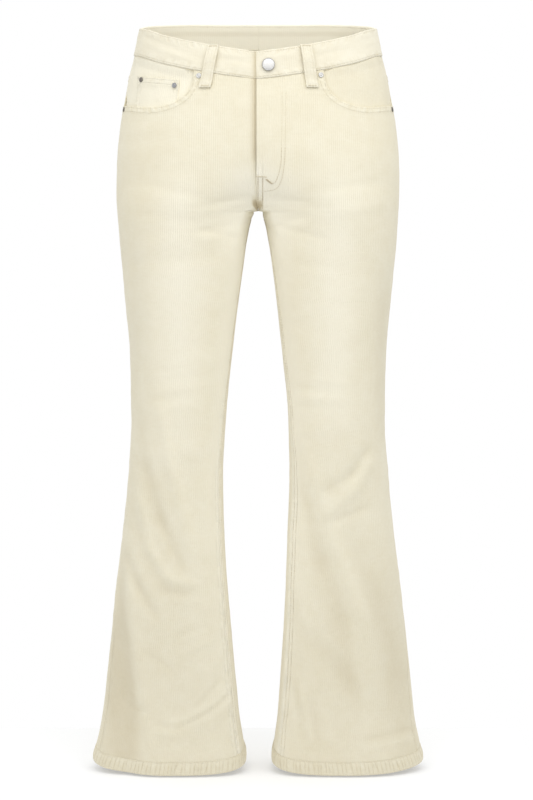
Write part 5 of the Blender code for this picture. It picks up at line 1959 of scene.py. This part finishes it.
fly_stitches(sewing["front"], sewing["tacks"])
seat_stitches(sewing["back"])
for stitching in sewing.values():
    keep(stitching.make())

BUTTON_X, BUTTON_Z, BUTTON_LIFT = 0.0142, np.array(-0.058), 0.0021
button_turn = turn_at("front", BUTTON_X, BUTTON_Z)
button_normal = plain_normal(1, button_turn, BUTTON_Z)
button_place = plain_form(1, button_turn, BUTTON_Z) + button_normal * BUTTON_LIFT
keep(put_on(shank_button(), button_place, button_normal), "shank_button", "metal")
MOVED = {"rivet_coin_pocket_inner": (0.0040, 0, 0.0030), "rivet_coin_pocket_outer": (-0.0018, 0, 0.0004)}
for node, finishes in (
    ("rivet_mouth_top_right", (plate_finish, dark_reflection_finish)),
    ("rivet_mouth_top_left", (plate_finish, dark_reflection_finish)),
    ("rivet_mouth_side_right", (painted_shade_plate_finish, painted_shade_plate_finish)),
    ("rivet_mouth_side_left", (painted_shade_plate_finish, painted_shade_plate_finish)),
    ("rivet_coin_pocket_inner", (dark_reflection_finish, painted_shade_plate_finish)),
    ("rivet_coin_pocket_outer", (painted_shade_plate_finish, painted_shade_plate_finish)),
):
    low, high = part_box(node)
    centre = (low + high) / 2 + Vector(MOVED.get(node, (0, 0, 0)))
    turn = turn_at("front", centre.x, centre.z)
    hand = -1 if centre.x < 0 else 1
    normal = plain_normal(hand, turn, np.array(centre.z))
    lifted = 0.0007 if "mouth" in node else 0.0014 - BEARER_SINK[-1] + COIN_POCKET_WALL + LAYER_GAP
    place = cloth_point(hand, turn, centre.z, lifted)
    keep(put_on(rivet(node.removeprefix("rivet_"), finishes), place, normal), node, "metal")

# ---- Floor and light ---------------------------------------------------------------------------------------
FLOOR_Z = -1.0535
FLOOR_SIZE = (0.80, 0.50, 0.0)
# Each light: its place, what it faces, its width and height, and its watts.
LIGHTS = {
    "key": ((0.15, -0.85, 0.62), (0, 0, -0.30), 1.5, 0.6, 5.5),
    "fill": ((0.0, -1.10, -0.62), (0, 0, -0.62), 1.5, 0.5, 0.7),
    "right": ((1.20, -1.00, 0.10), (0, 0, -0.45), 0.9, 0.9, 0.5),
    "left": ((-1.20, -1.00, 0.20), (0, 0, -0.35), 0.9, 0.9, 1.0),
}

bpy.ops.object.select_all(action="DESELECT")
bpy.ops.mesh.primitive_plane_add(size=1.0, location=(0, 0, FLOOR_Z))
floor = bpy.context.object
floor.name = "floor"
floor.dimensions = FLOOR_SIZE
bpy.ops.object.transform_apply(location=True, scale=True)
floor_finish, floor_tree = new_finish("floor")
close_finish(
    floor_tree,
    {
        "Base Color": (0.68, 0.68, 0.68, 1.0),
        "Roughness": 0.9,
        "Specular IOR Level": 0.0,
        "Emission Color": (1.0, 1.0, 1.0, 1.0),
        "Emission Strength": 0.33,
    },
)
floor.data.materials.append(floor_finish)

world = bpy.data.worlds.new("studio")
bpy.context.scene.world = world
world.use_nodes = True
tree = world.node_tree
tree.nodes.clear()
sky = add_node(tree, "ShaderNodeTexCoord", {}, {}, output="Generated")
above = ranged(tree, parts_of(tree, sky)[2], -0.6, 0.6, 0.625, 0.965, way="SMOOTHSTEP")
ambient = add_node(tree, "ShaderNodeBackground", {}, {"Color": (0.98, 0.99, 1.0, 1.0), "Strength": above})
backdrop = add_node(tree, "ShaderNodeBackground", {}, {"Color": (1.0, 1.0, 1.0, 1.0), "Strength": 1.0})
seen = add_node(tree, "ShaderNodeLightPath", {}, {}, output="Is Camera Ray")
both = add_node(tree, "ShaderNodeMixShader", {}, {0: seen, 1: ambient, 2: backdrop})
world_end = tree.nodes.new("ShaderNodeOutputWorld")
tree.links.new(both.socket, world_end.inputs["Surface"])


for name, (place, target, width, height, watts) in LIGHTS.items():
    data = bpy.data.lights.new(name, "AREA")
    data.shape = "RECTANGLE"
    data.size, data.size_y = width, height
    data.energy = watts
    light = new_object(name, data)
    light.location = place
    light.rotation_euler = (Vector(target) - Vector(place)).to_track_quat("-Z", "Y").to_euler()
bpy.context.scene.view_settings.view_transform = "Standard"
